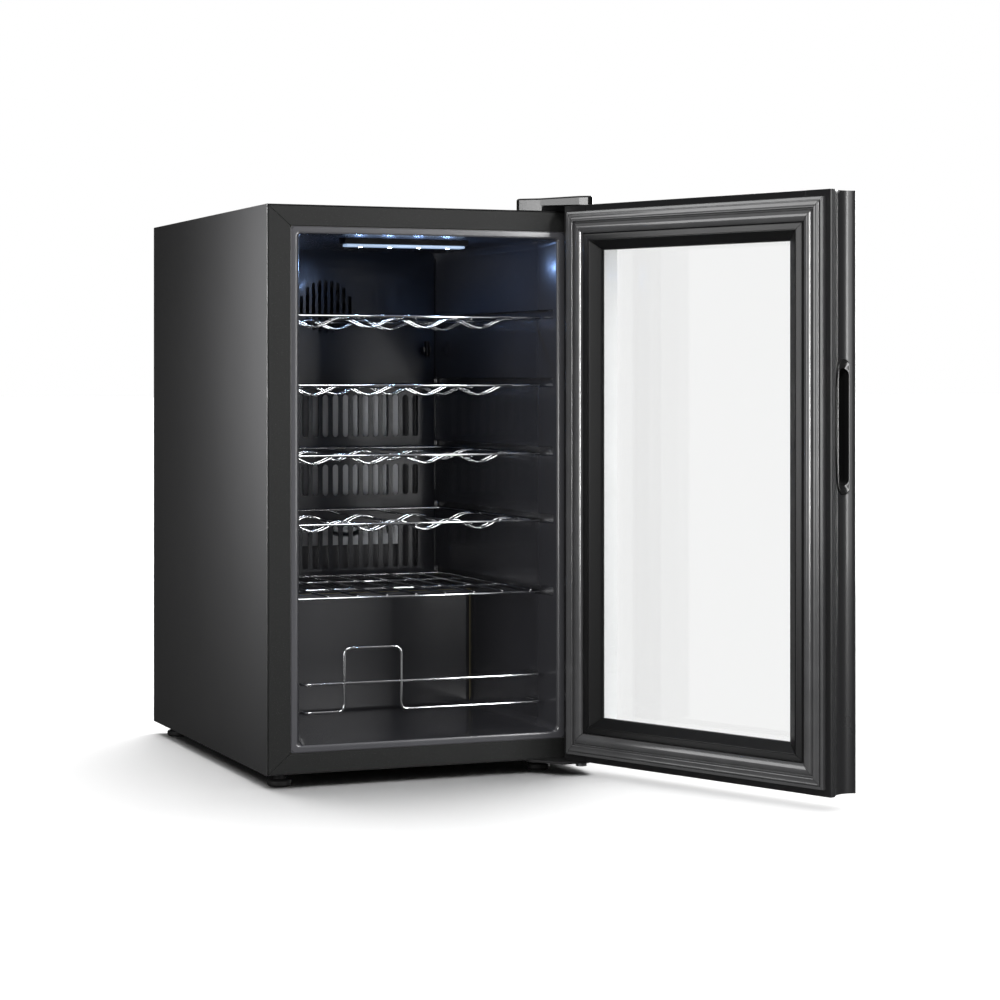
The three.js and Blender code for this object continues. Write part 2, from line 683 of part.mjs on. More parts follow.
function lowerHinge() {
  const plate = new THREE.Shape();
  const plateFront = HINGE_Y - 12;
  const corner = 14;
  plate.moveTo(LOWER_BRACKET_LEFT, LOWER_BRACKET_BACK);
  plate.lineTo(LOWER_BRACKET_LEFT, FRONT + 8);
  plate.lineTo(FOOT_RIGHT_X + 4, plateFront);
  plate.lineTo(BRACKET_RIGHT - corner, plateFront);
  plate.absarc(BRACKET_RIGHT - corner, plateFront + corner, corner, -Math.PI / 2, 0);
  plate.lineTo(BRACKET_RIGHT, LOWER_BRACKET_BACK);
  const plateLow = LOWER_BRACKET_TOP - BRACKET;
  const footHole = rod(FOOT_STEM + GAP, plateLow - 1, 1, 16, FOOT_RIGHT_X, FOOT_RIGHT_Y);
  const pinHole = rod(PIN_RADIUS + GAP, plateLow - 1, 1, 16, HINGE_X, HINGE_Y);
  place('lower_hinge_bracket', cut(prism(plate, plateLow, LOWER_BRACKET_TOP), [footHole, pinHole]), steel);
  const lowerPin = turned([
    [0, -7], [PIN_HEAD, -7], [PIN_HEAD, plateLow - GAP], [PIN_RADIUS, plateLow - GAP],
    [PIN_RADIUS, DOOR_LOW + PIN_REACH], [0, DOOR_LOW + PIN_REACH],
  ], 16, HINGE_X, HINGE_Y);
  place('lower_hinge_pin', lowerPin, steel);
}

// ---- door ---------------------------------------------------------------------------------

// Door coordinates: u from the hinge edge, w outwards from the inner face. The group's origin is
// the hinge axis, and the door is drawn closed.
const U0 = HALF - (WIDTH - DOOR_WIDTH) / 2 - HINGE_X;
const W0 = FRONT - SEAL_GAP - SEAL_STAND - HINGE_Y;
const doorPoint = (u, w) => [U0 - u, W0 - w];

function doorBox(u0, u1, w0, w1, z0, z1) {
  return box(U0 - u1, U0 - u0, W0 - w1, W0 - w0, z0, z1);
}

// A rectangular frame inset from the door's edges. Its ends may be inset less than its sides.
function doorRing(outer, inner, w0, w1, innerEnd = inner) {
  const outside = doorBox(outer, DOOR_WIDTH - outer, w0, w1, DOOR_LOW + outer, DOOR_HIGH - outer);
  const hole = doorBox(
    inner, DOOR_WIDTH - inner, w0 - 1, w1 + 1,
    DOOR_LOW + innerEnd, DOOR_HIGH - innerEnd,
  );
  return outside.subtract(hole);
}

// A shallow hollow along the door's edge, which is also what clears the cabinet's corner.
function scoop(free, depth, low, high) {
  const half = (SCOOP_TO - SCOOP_FROM) / 2;
  const radius = (half * half + depth * depth) / (2 * depth);
  const centre = free ? DOOR_WIDTH - depth + radius : depth - radius;
  const [x, y] = doorPoint(centre, (SCOOP_FROM + SCOOP_TO) / 2);
  return rod(radius, low, high, 60, x, y);
}

function stile(free) {
  const side = (u) => (free ? DOOR_WIDTH - u : u);
  const span = (a, b) => [side(a), side(b)].sort((first, second) => first - second);
  const bar = join([
    doorBox(...span(0, STILE), RIM, DOOR_THICK, DOOR_LOW, DOOR_HIGH),
    doorBox(...span(STILE - 1, LIP), DOOR_THICK - 2.4, DOOR_THICK, DOOR_LOW, DOOR_HIGH),
  ]);
  return bar.subtract(scoop(free, SCOOP_DEPTH, DOOR_LOW - 1, DOOR_HIGH + 1));
}

function rail(low) {
  const edge = low ? DOOR_LOW : DOOR_HIGH;
  const into = low ? 1 : -1;
  const span = (a, b) => [edge + into * a, edge + into * b].sort((first, second) => first - second);
  return join([
    doorBox(STILE + GAP, DOOR_WIDTH - STILE - GAP, RIM, DOOR_THICK - 2.4 - GAP, ...span(0, STILE)),
    doorBox(LIP + GAP, DOOR_WIDTH - LIP - GAP, DOOR_THICK - 4, DOOR_THICK, ...span(0, LIP - 6)),
  ]);
}

// The grip's outer box, grown by some clearance.
function gripBox(grow) {
  const middle = (SCOOP_FROM + SCOOP_TO) / 2;
  return doorBox(
    DOOR_WIDTH - GRIP_DEPTH - grow, DOOR_WIDTH + grow,
    middle - GRIP_WIDTH / 2 - grow, middle + GRIP_WIDTH / 2 + grow,
    GRIP_CENTRE - GRIP_LENGTH / 2 - grow, GRIP_CENTRE + GRIP_LENGTH / 2 + grow,
  );
}

function doorFrame() {
  const pocket = BUSH_LENGTH + 1;
  const topPocket = rod(BUSH_RADIUS + GAP, DOOR_HIGH - pocket, DOOR_HIGH + 1, 16);
  const lowPocket = rod(BUSH_RADIUS + GAP, DOOR_LOW - 1, DOOR_LOW + pocket, 16);
  place('door_stile_hinge', cut(stile(false), [topPocket, lowPocket]), doorBlack, door);

  place('door_stile_free', stile(true).subtract(gripBox(GAP)), doorBlack, door);
  place('door_rail_top', rail(false), doorBlack, door);
  place('door_rail_bottom', rail(true), doorBlack, door);

  const bush = ring(PIN_RADIUS + GAP, BUSH_RADIUS, 0, BUSH_LENGTH, 16);
  place('door_bush_top', bush.translate([0, 0, DOOR_HIGH - BUSH_LENGTH]), footRubber, door);
  place('door_bush_bottom', bush.translate([0, 0, DOOR_LOW]), footRubber, door);
}

function doorGrip() {
  const [freeX, middleY] = doorPoint(DOOR_WIDTH, (SCOOP_FROM + SCOOP_TO) / 2);
  const outline = rounded(middleY, GRIP_CENTRE, GRIP_SLOT_WIDTH, GRIP_SLOT_LENGTH, GRIP_SLOT_WIDTH / 2 - 0.1);
  const slot = beam(outline, freeX - 1, freeX + GRIP_DEPTH - 3);
  const face = scoop(
    true, SCOOP_DEPTH - 1.2, GRIP_CENTRE - GRIP_LENGTH, GRIP_CENTRE + GRIP_LENGTH,
  );
  place('door_grip', cut(gripBox(0), [face, slot]), blackPlastic, door);
}

const GLASS = 4;
const PANE_INSET = STILE + 2;
const INNER_PANE = 9.3;
const OUTER_PANE = DOOR_THICK - 4 - GAP;

function doorGlass() {
  const pane = (w) => doorBox(
    PANE_INSET, DOOR_WIDTH - PANE_INSET, w, w + GLASS,
    DOOR_LOW + PANE_INSET, DOOR_HIGH - PANE_INSET,
  );
  place('outer_glass', pane(OUTER_PANE - GLASS), clearGlass, door);
  place('inner_glass', pane(INNER_PANE), clearGlass, door);
  const spacer = doorRing(
    PANE_INSET + 3, WINDOW - 6, INNER_PANE + GLASS + GAP, OUTER_PANE - GLASS - GAP,
    WINDOW_END - 6,
  );
  place('glass_spacer', spacer, steel, door);
  const ledge = (WINDOW - STILE) / 2.6;
  place('inner_trim', join([
    doorRing(STILE + GAP, WINDOW - 1, 5, INNER_PANE - GAP, WINDOW_END - 1),
    doorRing(STILE + GAP, STILE + ledge, -3.4, 6),
  ]), blackPlastic, door);
}

function doorSeal() {
  const seal = join([
    doorRing(8, STILE - GAP, -1, RIM - GAP),
    doorRing(10.5, 16.5, 1.3 - SEAL_STAND, 0),
    doorRing(19, 26, -SEAL_STAND, 0),
    doorRing(30, STILE - GAP, -SEAL_STAND, 0),
  ]);
  place('door_seal', seal, sealRubber, door);
}

// ---- assembly -----------------------------------------------------------------------------

cabinetShell();
frontFrame();
innerTank();
airDuct();
evaporator();
circulationFan();
lamp();
sensor();
shelves();
bottleGuard();
compressor();
drainTray();
controlBox();
condenserCoil();
condenserFan();
feet();
upperHinge();
lowerHinge();
doorFrame();
doorGrip();
doorGlass();
doorSeal();

export default wineCooler;
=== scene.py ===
"""Visual model of the wine cooler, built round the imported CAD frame. Shapes are written in mm."""

import json
import math

import bmesh
import bpy
from mathutils import Matrix, Vector

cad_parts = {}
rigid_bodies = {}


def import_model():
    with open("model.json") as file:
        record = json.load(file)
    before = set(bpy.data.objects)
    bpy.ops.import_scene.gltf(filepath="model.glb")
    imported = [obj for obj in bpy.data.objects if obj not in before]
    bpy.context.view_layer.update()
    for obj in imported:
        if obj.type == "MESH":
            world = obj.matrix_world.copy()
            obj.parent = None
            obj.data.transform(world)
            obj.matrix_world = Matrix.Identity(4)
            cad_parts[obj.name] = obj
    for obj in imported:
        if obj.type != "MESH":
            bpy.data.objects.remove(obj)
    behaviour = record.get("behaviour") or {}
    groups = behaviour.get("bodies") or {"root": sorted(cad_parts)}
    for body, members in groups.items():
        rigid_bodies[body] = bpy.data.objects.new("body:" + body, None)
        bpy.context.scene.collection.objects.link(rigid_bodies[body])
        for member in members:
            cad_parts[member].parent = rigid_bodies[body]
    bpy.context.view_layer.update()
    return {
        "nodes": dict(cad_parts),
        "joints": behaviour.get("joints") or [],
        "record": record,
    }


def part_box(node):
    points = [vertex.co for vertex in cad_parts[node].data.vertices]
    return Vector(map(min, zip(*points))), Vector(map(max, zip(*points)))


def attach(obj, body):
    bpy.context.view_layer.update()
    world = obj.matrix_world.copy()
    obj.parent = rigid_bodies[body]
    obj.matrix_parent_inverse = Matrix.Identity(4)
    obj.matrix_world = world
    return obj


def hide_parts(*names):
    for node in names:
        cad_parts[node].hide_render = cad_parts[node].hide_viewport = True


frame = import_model()
scene = bpy.context.scene
MM = 0.001


def mm_box(node):
    """A CAD node's lowest and highest corners, in mm."""
    low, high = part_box(node)
    return low / MM, high / MM


# ---- sizes, in mm, from the frame ----------------------------------------------------------

PANEL_LOW = mm_box("left_side_panel")[0]
HALF = mm_box("right_side_panel")[1].x
FRONT = PANEL_LOW.y
TANK_LOW, TANK_HIGH = mm_box("inner_tank")
DUCT_LOW, DUCT_HIGH = mm_box("duct_cover")
COVER_LOW, COVER_HIGH = mm_box("hinge_cover")
GUARD_LOW, GUARD_HIGH = mm_box("bottle_guard")
COMPRESSOR_LOW, COMPRESSOR_HIGH = mm_box("compressor")

# Tank: its mouth, the flare behind the mouth, its walls, the step at the bottom, the shelf grooves
MOUTH_HALF = 172.8
MOUTH_LOW = 35.5
MOUTH_HIGH = 671
MOUTH_BEAD = 4.5
FLARE_DEPTH = 45
TANK_HALF = 165
TANK_DEPTH = 482
TANK_WALL = 12
TANK_CORNER = 12
HUMP_DEPTH = 279
HUMP_TOP = 200
GROOVE_START = 8
GROOVE_HALF = 173
GROOVE_HEIGHT = 12
GROOVE_LENGTH = 422

# Shelves, with the radii of their wires. The four above the flat one have cradles
FLAT_SHELF = 5
WIRE = 1.75
THIN_WIRE = 1.5
BOTTLE_PITCH = 76.5
BOTTLES = 4
CRADLE_DIP = 13
BAR_PITCH = 39.7

# Door: u from its hinge edge, w outwards from its inner face, z up
DOOR_HINGE = next(joint for joint in frame["joints"] if joint["name"] == "door_hinge")
HINGE = Vector(DOOR_HINGE["pos_m"]) / MM
DOOR_OPEN = -math.radians(DOOR_HINGE["range_deg"][0])
DOOR_WIDTH = 428
DOOR_THICK = 50.7
DOOR_LOW = mm_box("door_stile_free")[0].z
DOOR_HIGH = mm_box("door_stile_free")[1].z
SEAL_STAND = 5.5
EDGE_TO_AXIS = HALF - 1 - HINGE.x
FACE_TO_AXIS = FRONT - 0.5 - SEAL_STAND - HINGE.y
RIM = 2.5
STILE = 37
LIP = 49
WINDOW = 64
WINDOW_END = 58.5
BACK_LIP = 2.4

# The hollow along the door's edge, an arc of a circle
SCOOP_DEPTH = 8
SCOOP_HALF = 19
SCOOP_MIDDLE = 29
SCOOP_RADIUS = (SCOOP_HALF * SCOOP_HALF + SCOOP_DEPTH ** 2) / (2 * SCOOP_DEPTH)

# Straight steps in a quarter turn and in a half turn
CORNER_STEPS = 6
SLOT_STEPS = 8


# ---- mesh helpers --------------------------------------------------------------------------


def door_point(u, w, z):
    """A point of the door, in mm, where the open door holds it."""
    x, y = EDGE_TO_AXIS - u, FACE_TO_AXIS - w
    turn = Matrix.Rotation(DOOR_OPEN, 3, "Z")
    return turn @ Vector((x, y, 0)) + Vector((HINGE.x, HINGE.y, z))


INTERIOR = []  # the pieces that the lamp lights


def add(name, mesh, material, body, slot, replaces=(), smooth=35, weighted=True):
    """A mesh in metres becomes a piece that rides on a body. Edges above smooth degrees stay sharp."""
    obj = bpy.data.objects.new(name, mesh)
    scene.collection.objects.link(obj)
    mesh.materials.clear()
    mesh.materials.append(material)
    for face in mesh.polygons:
        face.use_smooth = True
    mesh.set_sharp_from_angle(angle=math.radians(smooth))
    if weighted:
        normals = obj.modifiers.new("normals", "WEIGHTED_NORMAL")
        normals.keep_sharp = True
    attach(obj, body)
    if replaces:
        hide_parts(*replaces)
    if slot in ("tank_plastic", "chrome"):
        INTERIOR.append(obj)
    return obj


def mesh_of(name, verts, faces):
    """A mesh in metres from points in mm, with its faces turned outwards."""
    mesh = bpy.data.meshes.new(name)
    mesh.from_pydata([Vector(v) * MM for v in verts], [], faces)
    bm = bmesh.new()
    bm.from_mesh(mesh)
    bmesh.ops.recalc_face_normals(bm, faces=bm.faces)
    bm.to_mesh(mesh)
    bm.free()
    mesh.update()
    return mesh


def merged(name, meshes):
    """Several meshes as one, each a closed shell of its own."""
    bm = bmesh.new()
    for mesh in meshes:
        bm.from_mesh(mesh)
    out = bpy.data.meshes.new(name)
    bm.to_mesh(out)
    bm.free()
    return out


def band(count, this, following):
    """The faces between two loops, each given by its place in the order of loops."""
    faces = []
    for i in range(count):
        j = (i + 1) % count
        faces.append([this * count + i, this * count + j, following * count + j, following * count + i])
    return faces


def loft(name, loops):
    """Closed loops of equal length joined in order, with a face over each end."""
    count = len(loops[0])
    verts = [point for loop in loops for point in loop]
    faces = [list(range(count))[::-1]]
    for k in range(len(loops) - 1):
        faces += band(count, k, k + 1)
    last = (len(loops) - 1) * count
    faces.append(list(range(last, last + count)))
    return mesh_of(name, verts, faces)


def loft_ring(name, loops):
    """Loops joined in order and back to the first, so that they close on themselves."""
    count = len(loops[0])
    verts = [point for loop in loops for point in loop]
    faces = []
    for k in range(len(loops)):
        faces += band(count, k, (k + 1) % len(loops))
    return mesh_of(name, verts, faces)


def box_mesh(low, high, rounding=0.0, segments=2):
    """A box between two corners, with rounded edges."""
    bm = bmesh.new()
    bmesh.ops.create_cube(bm, size=1)
    low, high = Vector(low), Vector(high)
    for vert in bm.verts:
        vert.co = Vector(
            low[i] + (vert.co[i] + 0.5) * (high[i] - low[i]) for i in range(3)
        )
    if rounding:
        bmesh.ops.bevel(
            bm, geom=bm.edges[:], offset=rounding, segments=segments, profile=0.5, affect="EDGES"
        )
    for vert in bm.verts:
        vert.co = vert.co * MM
    bmesh.ops.recalc_face_normals(bm, faces=bm.faces)
    mesh = bpy.data.meshes.new("box")
    bm.to_mesh(mesh)
    bm.free()
    return mesh


def turned(profile, centre, sides):
    """A round piece from (radius, height) pairs, about an upright axis through the centre."""
    loops = []
    for radius, height in profile:
        loop = []
        for i in range(sides):
            angle = 2 * math.pi * i / sides
            point = Vector((radius * math.cos(angle), radius * math.sin(angle), height))
            loop.append(point + Vector(centre))
        loops.append(loop)
    return loft("turned", loops)


# A wire's rounded ends: rings of (distance along the wire, radius), both as shares of its radius
WIRE_START = [(-0.9, 0.3), (-0.6, 0.75), (0, 1)]
WIRE_END = [(0, 1), (0.6, 0.75), (0.9, 0.3)]


def tube(points, radius, sides=10):
    """A round wire through the points, with rounded ends."""
    points = [Vector(p) for p in points]
    tangents = []
    for i in range(len(points)):
        before = points[max(i - 1, 0)]
        after = points[min(i + 1, len(points) - 1)]
        tangents.append((after - before).normalized())
    side = tangents[0].orthogonal().normalized()
    loops = []
    for i, (point, along) in enumerate(zip(points, tangents)):
        side = (side - along * side.dot(along)).normalized()
        up = along.cross(side)
        rings = [(0, 1)]
        if i == 0:
            rings = WIRE_START
        elif i == len(points) - 1:
            rings = WIRE_END
        for shift, share in rings:
            middle = point + along * shift * radius
            loop = []
            for k in range(sides):
                angle = 2 * math.pi * k / sides
                outwards = side * math.cos(angle) + up * math.sin(angle)
                loop.append(middle + outwards * radius * share)
            loops.append(loop)
    return loft("tube", loops)


def bent(corners, bend):
    """Points of a route with one bend radius at every inner corner."""
    corners = [Vector(c) for c in corners]
    route = [corners[0]]
    for before, corner, after in zip(corners, corners[1:], corners[2:]):
        start = corner + (before - corner).normalized() * bend
        end = corner + (after - corner).normalized() * bend
        for k in range(CORNER_STEPS + 1):
            t = k / CORNER_STEPS
            route.append(start * (1 - t) ** 2 + corner * 2 * t * (1 - t) + end * t * t)
    route.append(corners[-1])
    return route


def rounded_loop(half, low, high, radius, y):
    """A rounded rectangle across the cabinet at depth y, from -half to half."""
    loop = []
    for cx, cz, start in [
        (half - radius, high - radius, 0), (-half + radius, high - radius, 90),
        (-half + radius, low + radius, 180), (half - radius, low + radius, 270),
    ]:
        for k in range(CORNER_STEPS + 1):
            angle = math.radians(start + 90 * k / CORNER_STEPS)
            loop.append((cx + radius * math.cos(angle), y, cz + radius * math.sin(angle)))
    return loop


def carve(mesh, cutters, operation="DIFFERENCE"):
    """The mesh less the cutters or, with INTERSECT, only what it shares with them."""
    whole = bpy.data.objects.new("whole", mesh)
    tool = bpy.data.objects.new("tool", merged("tool", cutters))
    for obj in (whole, tool):
        scene.collection.objects.link(obj)
    step = whole.modifiers.new("step", "BOOLEAN")
    step.operation = operation
    step.solver = "EXACT"
    step.object = tool
    bpy.context.view_layer.update()
    final = whole.evaluated_get(bpy.context.evaluated_depsgraph_get())
    result = bpy.data.meshes.new_from_object(final)
    for obj in (whole, tool):
        bpy.data.objects.remove(obj)
    return result


SAME_POINT = 0.00002  # metres
FLAT_ANGLE = math.radians(1)
SHARP_ANGLE = math.radians(28)


def formed(node, rounding, segments=2):
    """A copy of a CAD node with its edges rounded."""
    bm = bmesh.new()
    bm.from_mesh(frame["nodes"][node].data)
    bmesh.ops.remove_doubles(bm, verts=bm.verts, dist=SAME_POINT)
    bmesh.ops.dissolve_limit(bm, angle_limit=FLAT_ANGLE, verts=bm.verts, edges=bm.edges)
    paired = [edge for edge in bm.edges if len(edge.link_faces) == 2]
    sharp = [edge for edge in paired if edge.calc_face_angle() > SHARP_ANGLE]
    bmesh.ops.bevel(
        bm, geom=sharp, offset=rounding * MM, segments=segments, profile=0.5, affect="EDGES",
        clamp_overlap=True,
    )
    mesh = bpy.data.meshes.new(node)
    bm.to_mesh(mesh)
    bm.free()
    return mesh


def body_of_node(node):
    bodies = frame["record"]["behaviour"]["bodies"]
    return next(body for body, nodes in bodies.items() if node in nodes)


def form_node(node, rounding, material, slot, segments=2):
    """A piece that replaces a CAD node with its rounded copy."""
    mesh = formed(node, rounding, segments)
    return add(f"{node}_formed", mesh, material, body_of_node(node), slot, [node])


# ---- materials -----------------------------------------------------------------------------


def blank(name):
    """A new material with its nodes, links and main shader."""
    material = bpy.data.materials.new(name)
    material.use_nodes = True
    nodes, links = material.node_tree.nodes, material.node_tree.links
    return material, nodes, links, nodes["Principled BSDF"]


def noise(nodes, links, scale, detail=3.0, stretch=(1, 1, 1)):
    """A noise pattern fixed to the object, from 0 to 1."""
    where = nodes.new("ShaderNodeTexCoord")
    fit = nodes.new("ShaderNodeMapping")
    fit.inputs["Scale"].default_value = stretch
    links.new(where.outputs["Object"], fit.inputs["Vector"])
    tex = nodes.new("ShaderNodeTexNoise")
    tex.inputs["Scale"].default_value = scale
    tex.inputs["Detail"].default_value = detail
    links.new(fit.outputs["Vector"], tex.inputs["Vector"])
    return tex.outputs["Fac"]


UNEVEN_GLOSS = 0.015
COAT_ROUGHNESS = 0.08


def surface(name, colour, rough, metallic=0.0, spread=0.05, patch=6.0, grain=900.0, bump=0.05,
            depth=0.0002, coat=0.0, specular=0.5, stretch=(1, 1, 1)):
    """Paint, plastic or metal: soft patches of colour, uneven gloss and a fine grain."""
    material, nodes, links, shader = blank(name)
    shader.inputs["Metallic"].default_value = metallic
    shader.inputs["Coat Weight"].default_value = coat
    shader.inputs["Coat Roughness"].default_value = COAT_ROUGHNESS
    shader.inputs["Specular IOR Level"].default_value = specular

    tone = nodes.new("ShaderNodeValToRGB")
    tone.color_ramp.elements[0].position = 0.3
    tone.color_ramp.elements[1].position = 0.7
    tone.color_ramp.elements[0].color = (*[c * (1 - spread) for c in colour], 1)
    tone.color_ramp.elements[1].color = (*[c * (1 + spread) for c in colour], 1)
    links.new(noise(nodes, links, patch, stretch=stretch), tone.inputs["Fac"])
    links.new(tone.outputs["Color"], shader.inputs["Base Color"])

    gloss = nodes.new("ShaderNodeMapRange")
    gloss.inputs["To Min"].default_value = rough - UNEVEN_GLOSS
    gloss.inputs["To Max"].default_value = rough + UNEVEN_GLOSS
    links.new(noise(nodes, links, patch * 3, stretch=stretch), gloss.inputs["Value"])
    links.new(gloss.outputs["Result"], shader.inputs["Roughness"])

    relief = nodes.new("ShaderNodeBump")
    relief.inputs["Strength"].default_value = bump
    relief.inputs["Distance"].default_value = depth
    links.new(noise(nodes, links, grain, 2.0, stretch), relief.inputs["Height"])
    links.new(relief.outputs["Normal"], shader.inputs["Normal"])
    return material


FLECK_FROM, FLECK_FULL = 0.62, 0.72  # the noise levels where a fleck begins and is full


def speckled(name, colour, fleck, rough, grain, bump):
    """Textured powder coat: a dark ground with paler flecks and a pebbled relief."""
    material = surface(name, colour, rough, grain=grain, bump=bump, depth=0.0004, specular=0.3)
    nodes, links = material.node_tree.nodes, material.node_tree.links
    shader = nodes["Principled BSDF"]
    ground = shader.inputs["Base Color"].links[0].from_socket
    dots = nodes.new("ShaderNodeValToRGB")
    dots.color_ramp.elements[0].position = FLECK_FROM
    dots.color_ramp.elements[1].position = FLECK_FULL
    links.new(noise(nodes, links, grain * 0.8, 1.0), dots.inputs["Fac"])
    blend = nodes.new("ShaderNodeMix")
    blend.data_type = "RGBA"
    blend.inputs["B"].default_value = (*fleck, 1)
    links.new(dots.outputs["Color"], blend.inputs["Factor"])
    links.new(ground, blend.inputs["A"])
    links.new(blend.outputs["Result"], shader.inputs["Base Color"])
    return material


GLASS_SMEAR = 0.001
GLASS_SHADE = (0.93, 0.93, 0.93, 1)


def glass(name, tint):
    """Clear glass with a trace of smear, which lets nearly all light through to cast no dark shadow."""
    material, nodes, links, shader = blank(name)
    shader.inputs["Base Color"].default_value = (*tint, 1)
    shader.inputs["Transmission Weight"].default_value = 1
    shader.inputs["IOR"].default_value = 1.45
    shader.inputs["Specular IOR Level"].default_value = 0.25
    smear = nodes.new("ShaderNodeMapRange")
    smear.inputs["To Min"].default_value = 0.0
    smear.inputs["To Max"].default_value = GLASS_SMEAR
    links.new(noise(nodes, links, 5), smear.inputs["Value"])
    links.new(smear.outputs["Result"], shader.inputs["Roughness"])
    clear = nodes.new("ShaderNodeBsdfTransparent")
    clear.inputs["Color"].default_value = GLASS_SHADE
    path = nodes.new("ShaderNodeLightPath")
    mix = nodes.new("ShaderNodeMixShader")
    links.new(path.outputs["Is Shadow Ray"], mix.inputs[0])
    links.new(shader.outputs[0], mix.inputs[1])
    links.new(clear.outputs[0], mix.inputs[2])
    links.new(mix.outputs[0], nodes["Material Output"].inputs["Surface"])
    return material


def glowing(name, colour, strength, weakest=0.4):
    """A lit surface in uneven patches, from the weakest share of its strength to all of it."""
    material, nodes, links, shader = blank(name)
    shader.inputs["Base Color"].default_value = (0.8, 0.85, 0.9, 1)
    shader.inputs["Roughness"].default_value = 0.3
    shader.inputs["Emission Color"].default_value = (*colour, 1)
    level = nodes.new("ShaderNodeMapRange")
    level.inputs["To Min"].default_value = strength * weakest
    level.inputs["To Max"].default_value = strength
    links.new(noise(nodes, links, 40), level.inputs["Value"])
    links.new(level.outputs["Result"], shader.inputs["Emission Strength"])
    return material


SIDE_PAINT = speckled("side_paint", (0.008, 0.008, 0.0082), (0.022, 0.022, 0.0225), 0.42, 1500, 0.1)
FRAME_PAINT = speckled("frame_paint", (0.018, 0.0185, 0.018), (0.06, 0.06, 0.059), 0.46, 1100, 0.2)
BACK_PAINT = surface("back_paint", (0.02, 0.02, 0.021), 0.55, grain=700, bump=0.1)
TANK = surface("tank_plastic", (0.036, 0.036, 0.04), 0.26, grain=1600, bump=0.03, coat=0.15)
# The lip is the tank's own plastic. Its paler colour is a painted highlight; its gloss and coat are real
TANK_LIP_HIGHLIGHT = surface("tank_lip_plastic", (0.11, 0.11, 0.12), 0.22, grain=500, bump=0.02, coat=0.5)
BLACK = surface("black_plastic", (0.011, 0.011, 0.012), 0.38, grain=1800, bump=0.06)
DOOR_BLACK = surface("door_black", (0.018, 0.018, 0.019), 0.28, grain=2200, bump=0.05, coat=0.25)
TRIM_BLACK = surface(
    "trim_black", (0.009, 0.009, 0.0093), 0.32, grain=1500, bump=0.03, specular=0.35
)
GLOSS_BLACK = surface("gloss_black", (0.011, 0.011, 0.0112), 0.16, grain=1500, bump=0.02)
SEAL = surface(
    "seal_rubber", (0.044, 0.044, 0.045), 0.17, spread=0.1, patch=30, grain=260, bump=0.12, depth=0.0004
)
CHROME = surface("chrome", (0.86, 0.87, 0.89), 0.1, 1.0, spread=0.04, grain=120, bump=0.02)
STEEL = surface("steel", (0.42, 0.43, 0.45), 0.36, 0.95, grain=500, bump=0.05, stretch=(1, 12, 1))
DARK_STEEL = surface("dark_steel", (0.03, 0.03, 0.031), 0.4, 0.3, grain=900, bump=0.1)
COPPER = surface("copper", (0.55, 0.26, 0.15), 0.3, 1.0, spread=0.25, patch=60)
SPACER = surface(
    "spacer_aluminium", (0.86, 0.87, 0.87), 0.3, 0.4, spread=0.03, grain=300, bump=0.03
)
FOAM = surface("foam", (0.12, 0.105, 0.06), 0.9, spread=0.2, grain=300, bump=0.5, depth=0.001)
RUBBER = surface("rubber", (0.012, 0.012, 0.012), 0.65, grain=700, bump=0.2)
PANE = glass("clear_glass", (0.965, 0.967, 0.966))
LENS = glowing("lamp_lens", (0.5, 0.7, 1.0), 0.9)
LED = glowing("led", (0.75, 0.87, 1.0), 30, 0.9)


# ---- camera, lights and floor --------------------------------------------------------------

CAMERA_PLACE = Vector((-1135.2, -3276.7, 490.2))
CAMERA_YAW = math.radians(22.27)
FOCAL_SHARE = 2.54634  # focal length over the image's width
HORIZON_SHIFT = -0.1225
SENSOR = 36


def make_camera():
    data = bpy.data.cameras.new("camera")
    data.sensor_width = SENSOR
    data.lens = FOCAL_SHARE * SENSOR
    data.shift_y = HORIZON_SHIFT
    data.clip_start = 0.05
    data.clip_end = 200
    camera = bpy.data.objects.new("camera", data)
    camera.location = CAMERA_PLACE * MM
    camera.rotation_euler = (math.pi / 2, 0, -CAMERA_YAW)
    scene.collection.objects.link(camera)
    scene.camera = camera


def softbox(name, at, aim, size, power):
    """A white rectangle of light that shows in reflections only. Lengths in metres, power in watts."""
    data = bpy.data.lights.new(name, "AREA")
    data.shape = "RECTANGLE"
    data.size, data.size_y = size
    data.energy = power
    light = bpy.data.objects.new(name, data)
    light.location = at
    light.rotation_euler = (Vector(aim) - Vector(at)).to_track_quat("-Z", "Y").to_euler()
    light.visible_camera = False
    light.visible_transmission = False
    scene.collection.objects.link(light)
    return light


ROOM_LEVEL = 0.06


def make_world():
    """White to the eye, and a dim grey room to everything that reflects it."""
    world = bpy.data.worlds.new("studio")
    scene.world = world
    world.use_nodes = True
    nodes, links = world.node_tree.nodes, world.node_tree.links
    nodes.clear()
    seen = nodes.new("ShaderNodeBackground")
    seen.inputs["Color"].default_value = (1, 1, 1, 1)
    seen.inputs["Strength"].default_value = 1.0
    room = nodes.new("ShaderNodeBackground")
    room.inputs["Color"].default_value = (1, 1, 1, 1)
    room.inputs["Strength"].default_value = ROOM_LEVEL
    mix = nodes.new("ShaderNodeMixShader")
    links.new(seen_directly(nodes, links), mix.inputs[0])
    links.new(room.outputs[0], mix.inputs[1])
    links.new(seen.outputs[0], mix.inputs[2])
    out = nodes.new("ShaderNodeOutputWorld")
    links.new(mix.outputs[0], out.inputs["Surface"])


def seen_directly(nodes, links):
    """1 where the camera looks, straight or through glass, and 0 for every reflection and bounce."""
    path = nodes.new("ShaderNodeLightPath")
    either = nodes.new("ShaderNodeMath")
    either.operation = "MAXIMUM"
    links.new(path.outputs["Is Camera Ray"], either.inputs[0])
    links.new(path.outputs["Is Transmission Ray"], either.inputs[1])
    return either.outputs[0]


FLOOR_REACH = 60  # metres
FLOOR_TONES = (0.06, 0.08)
FLOOR_SEEN = 0.95


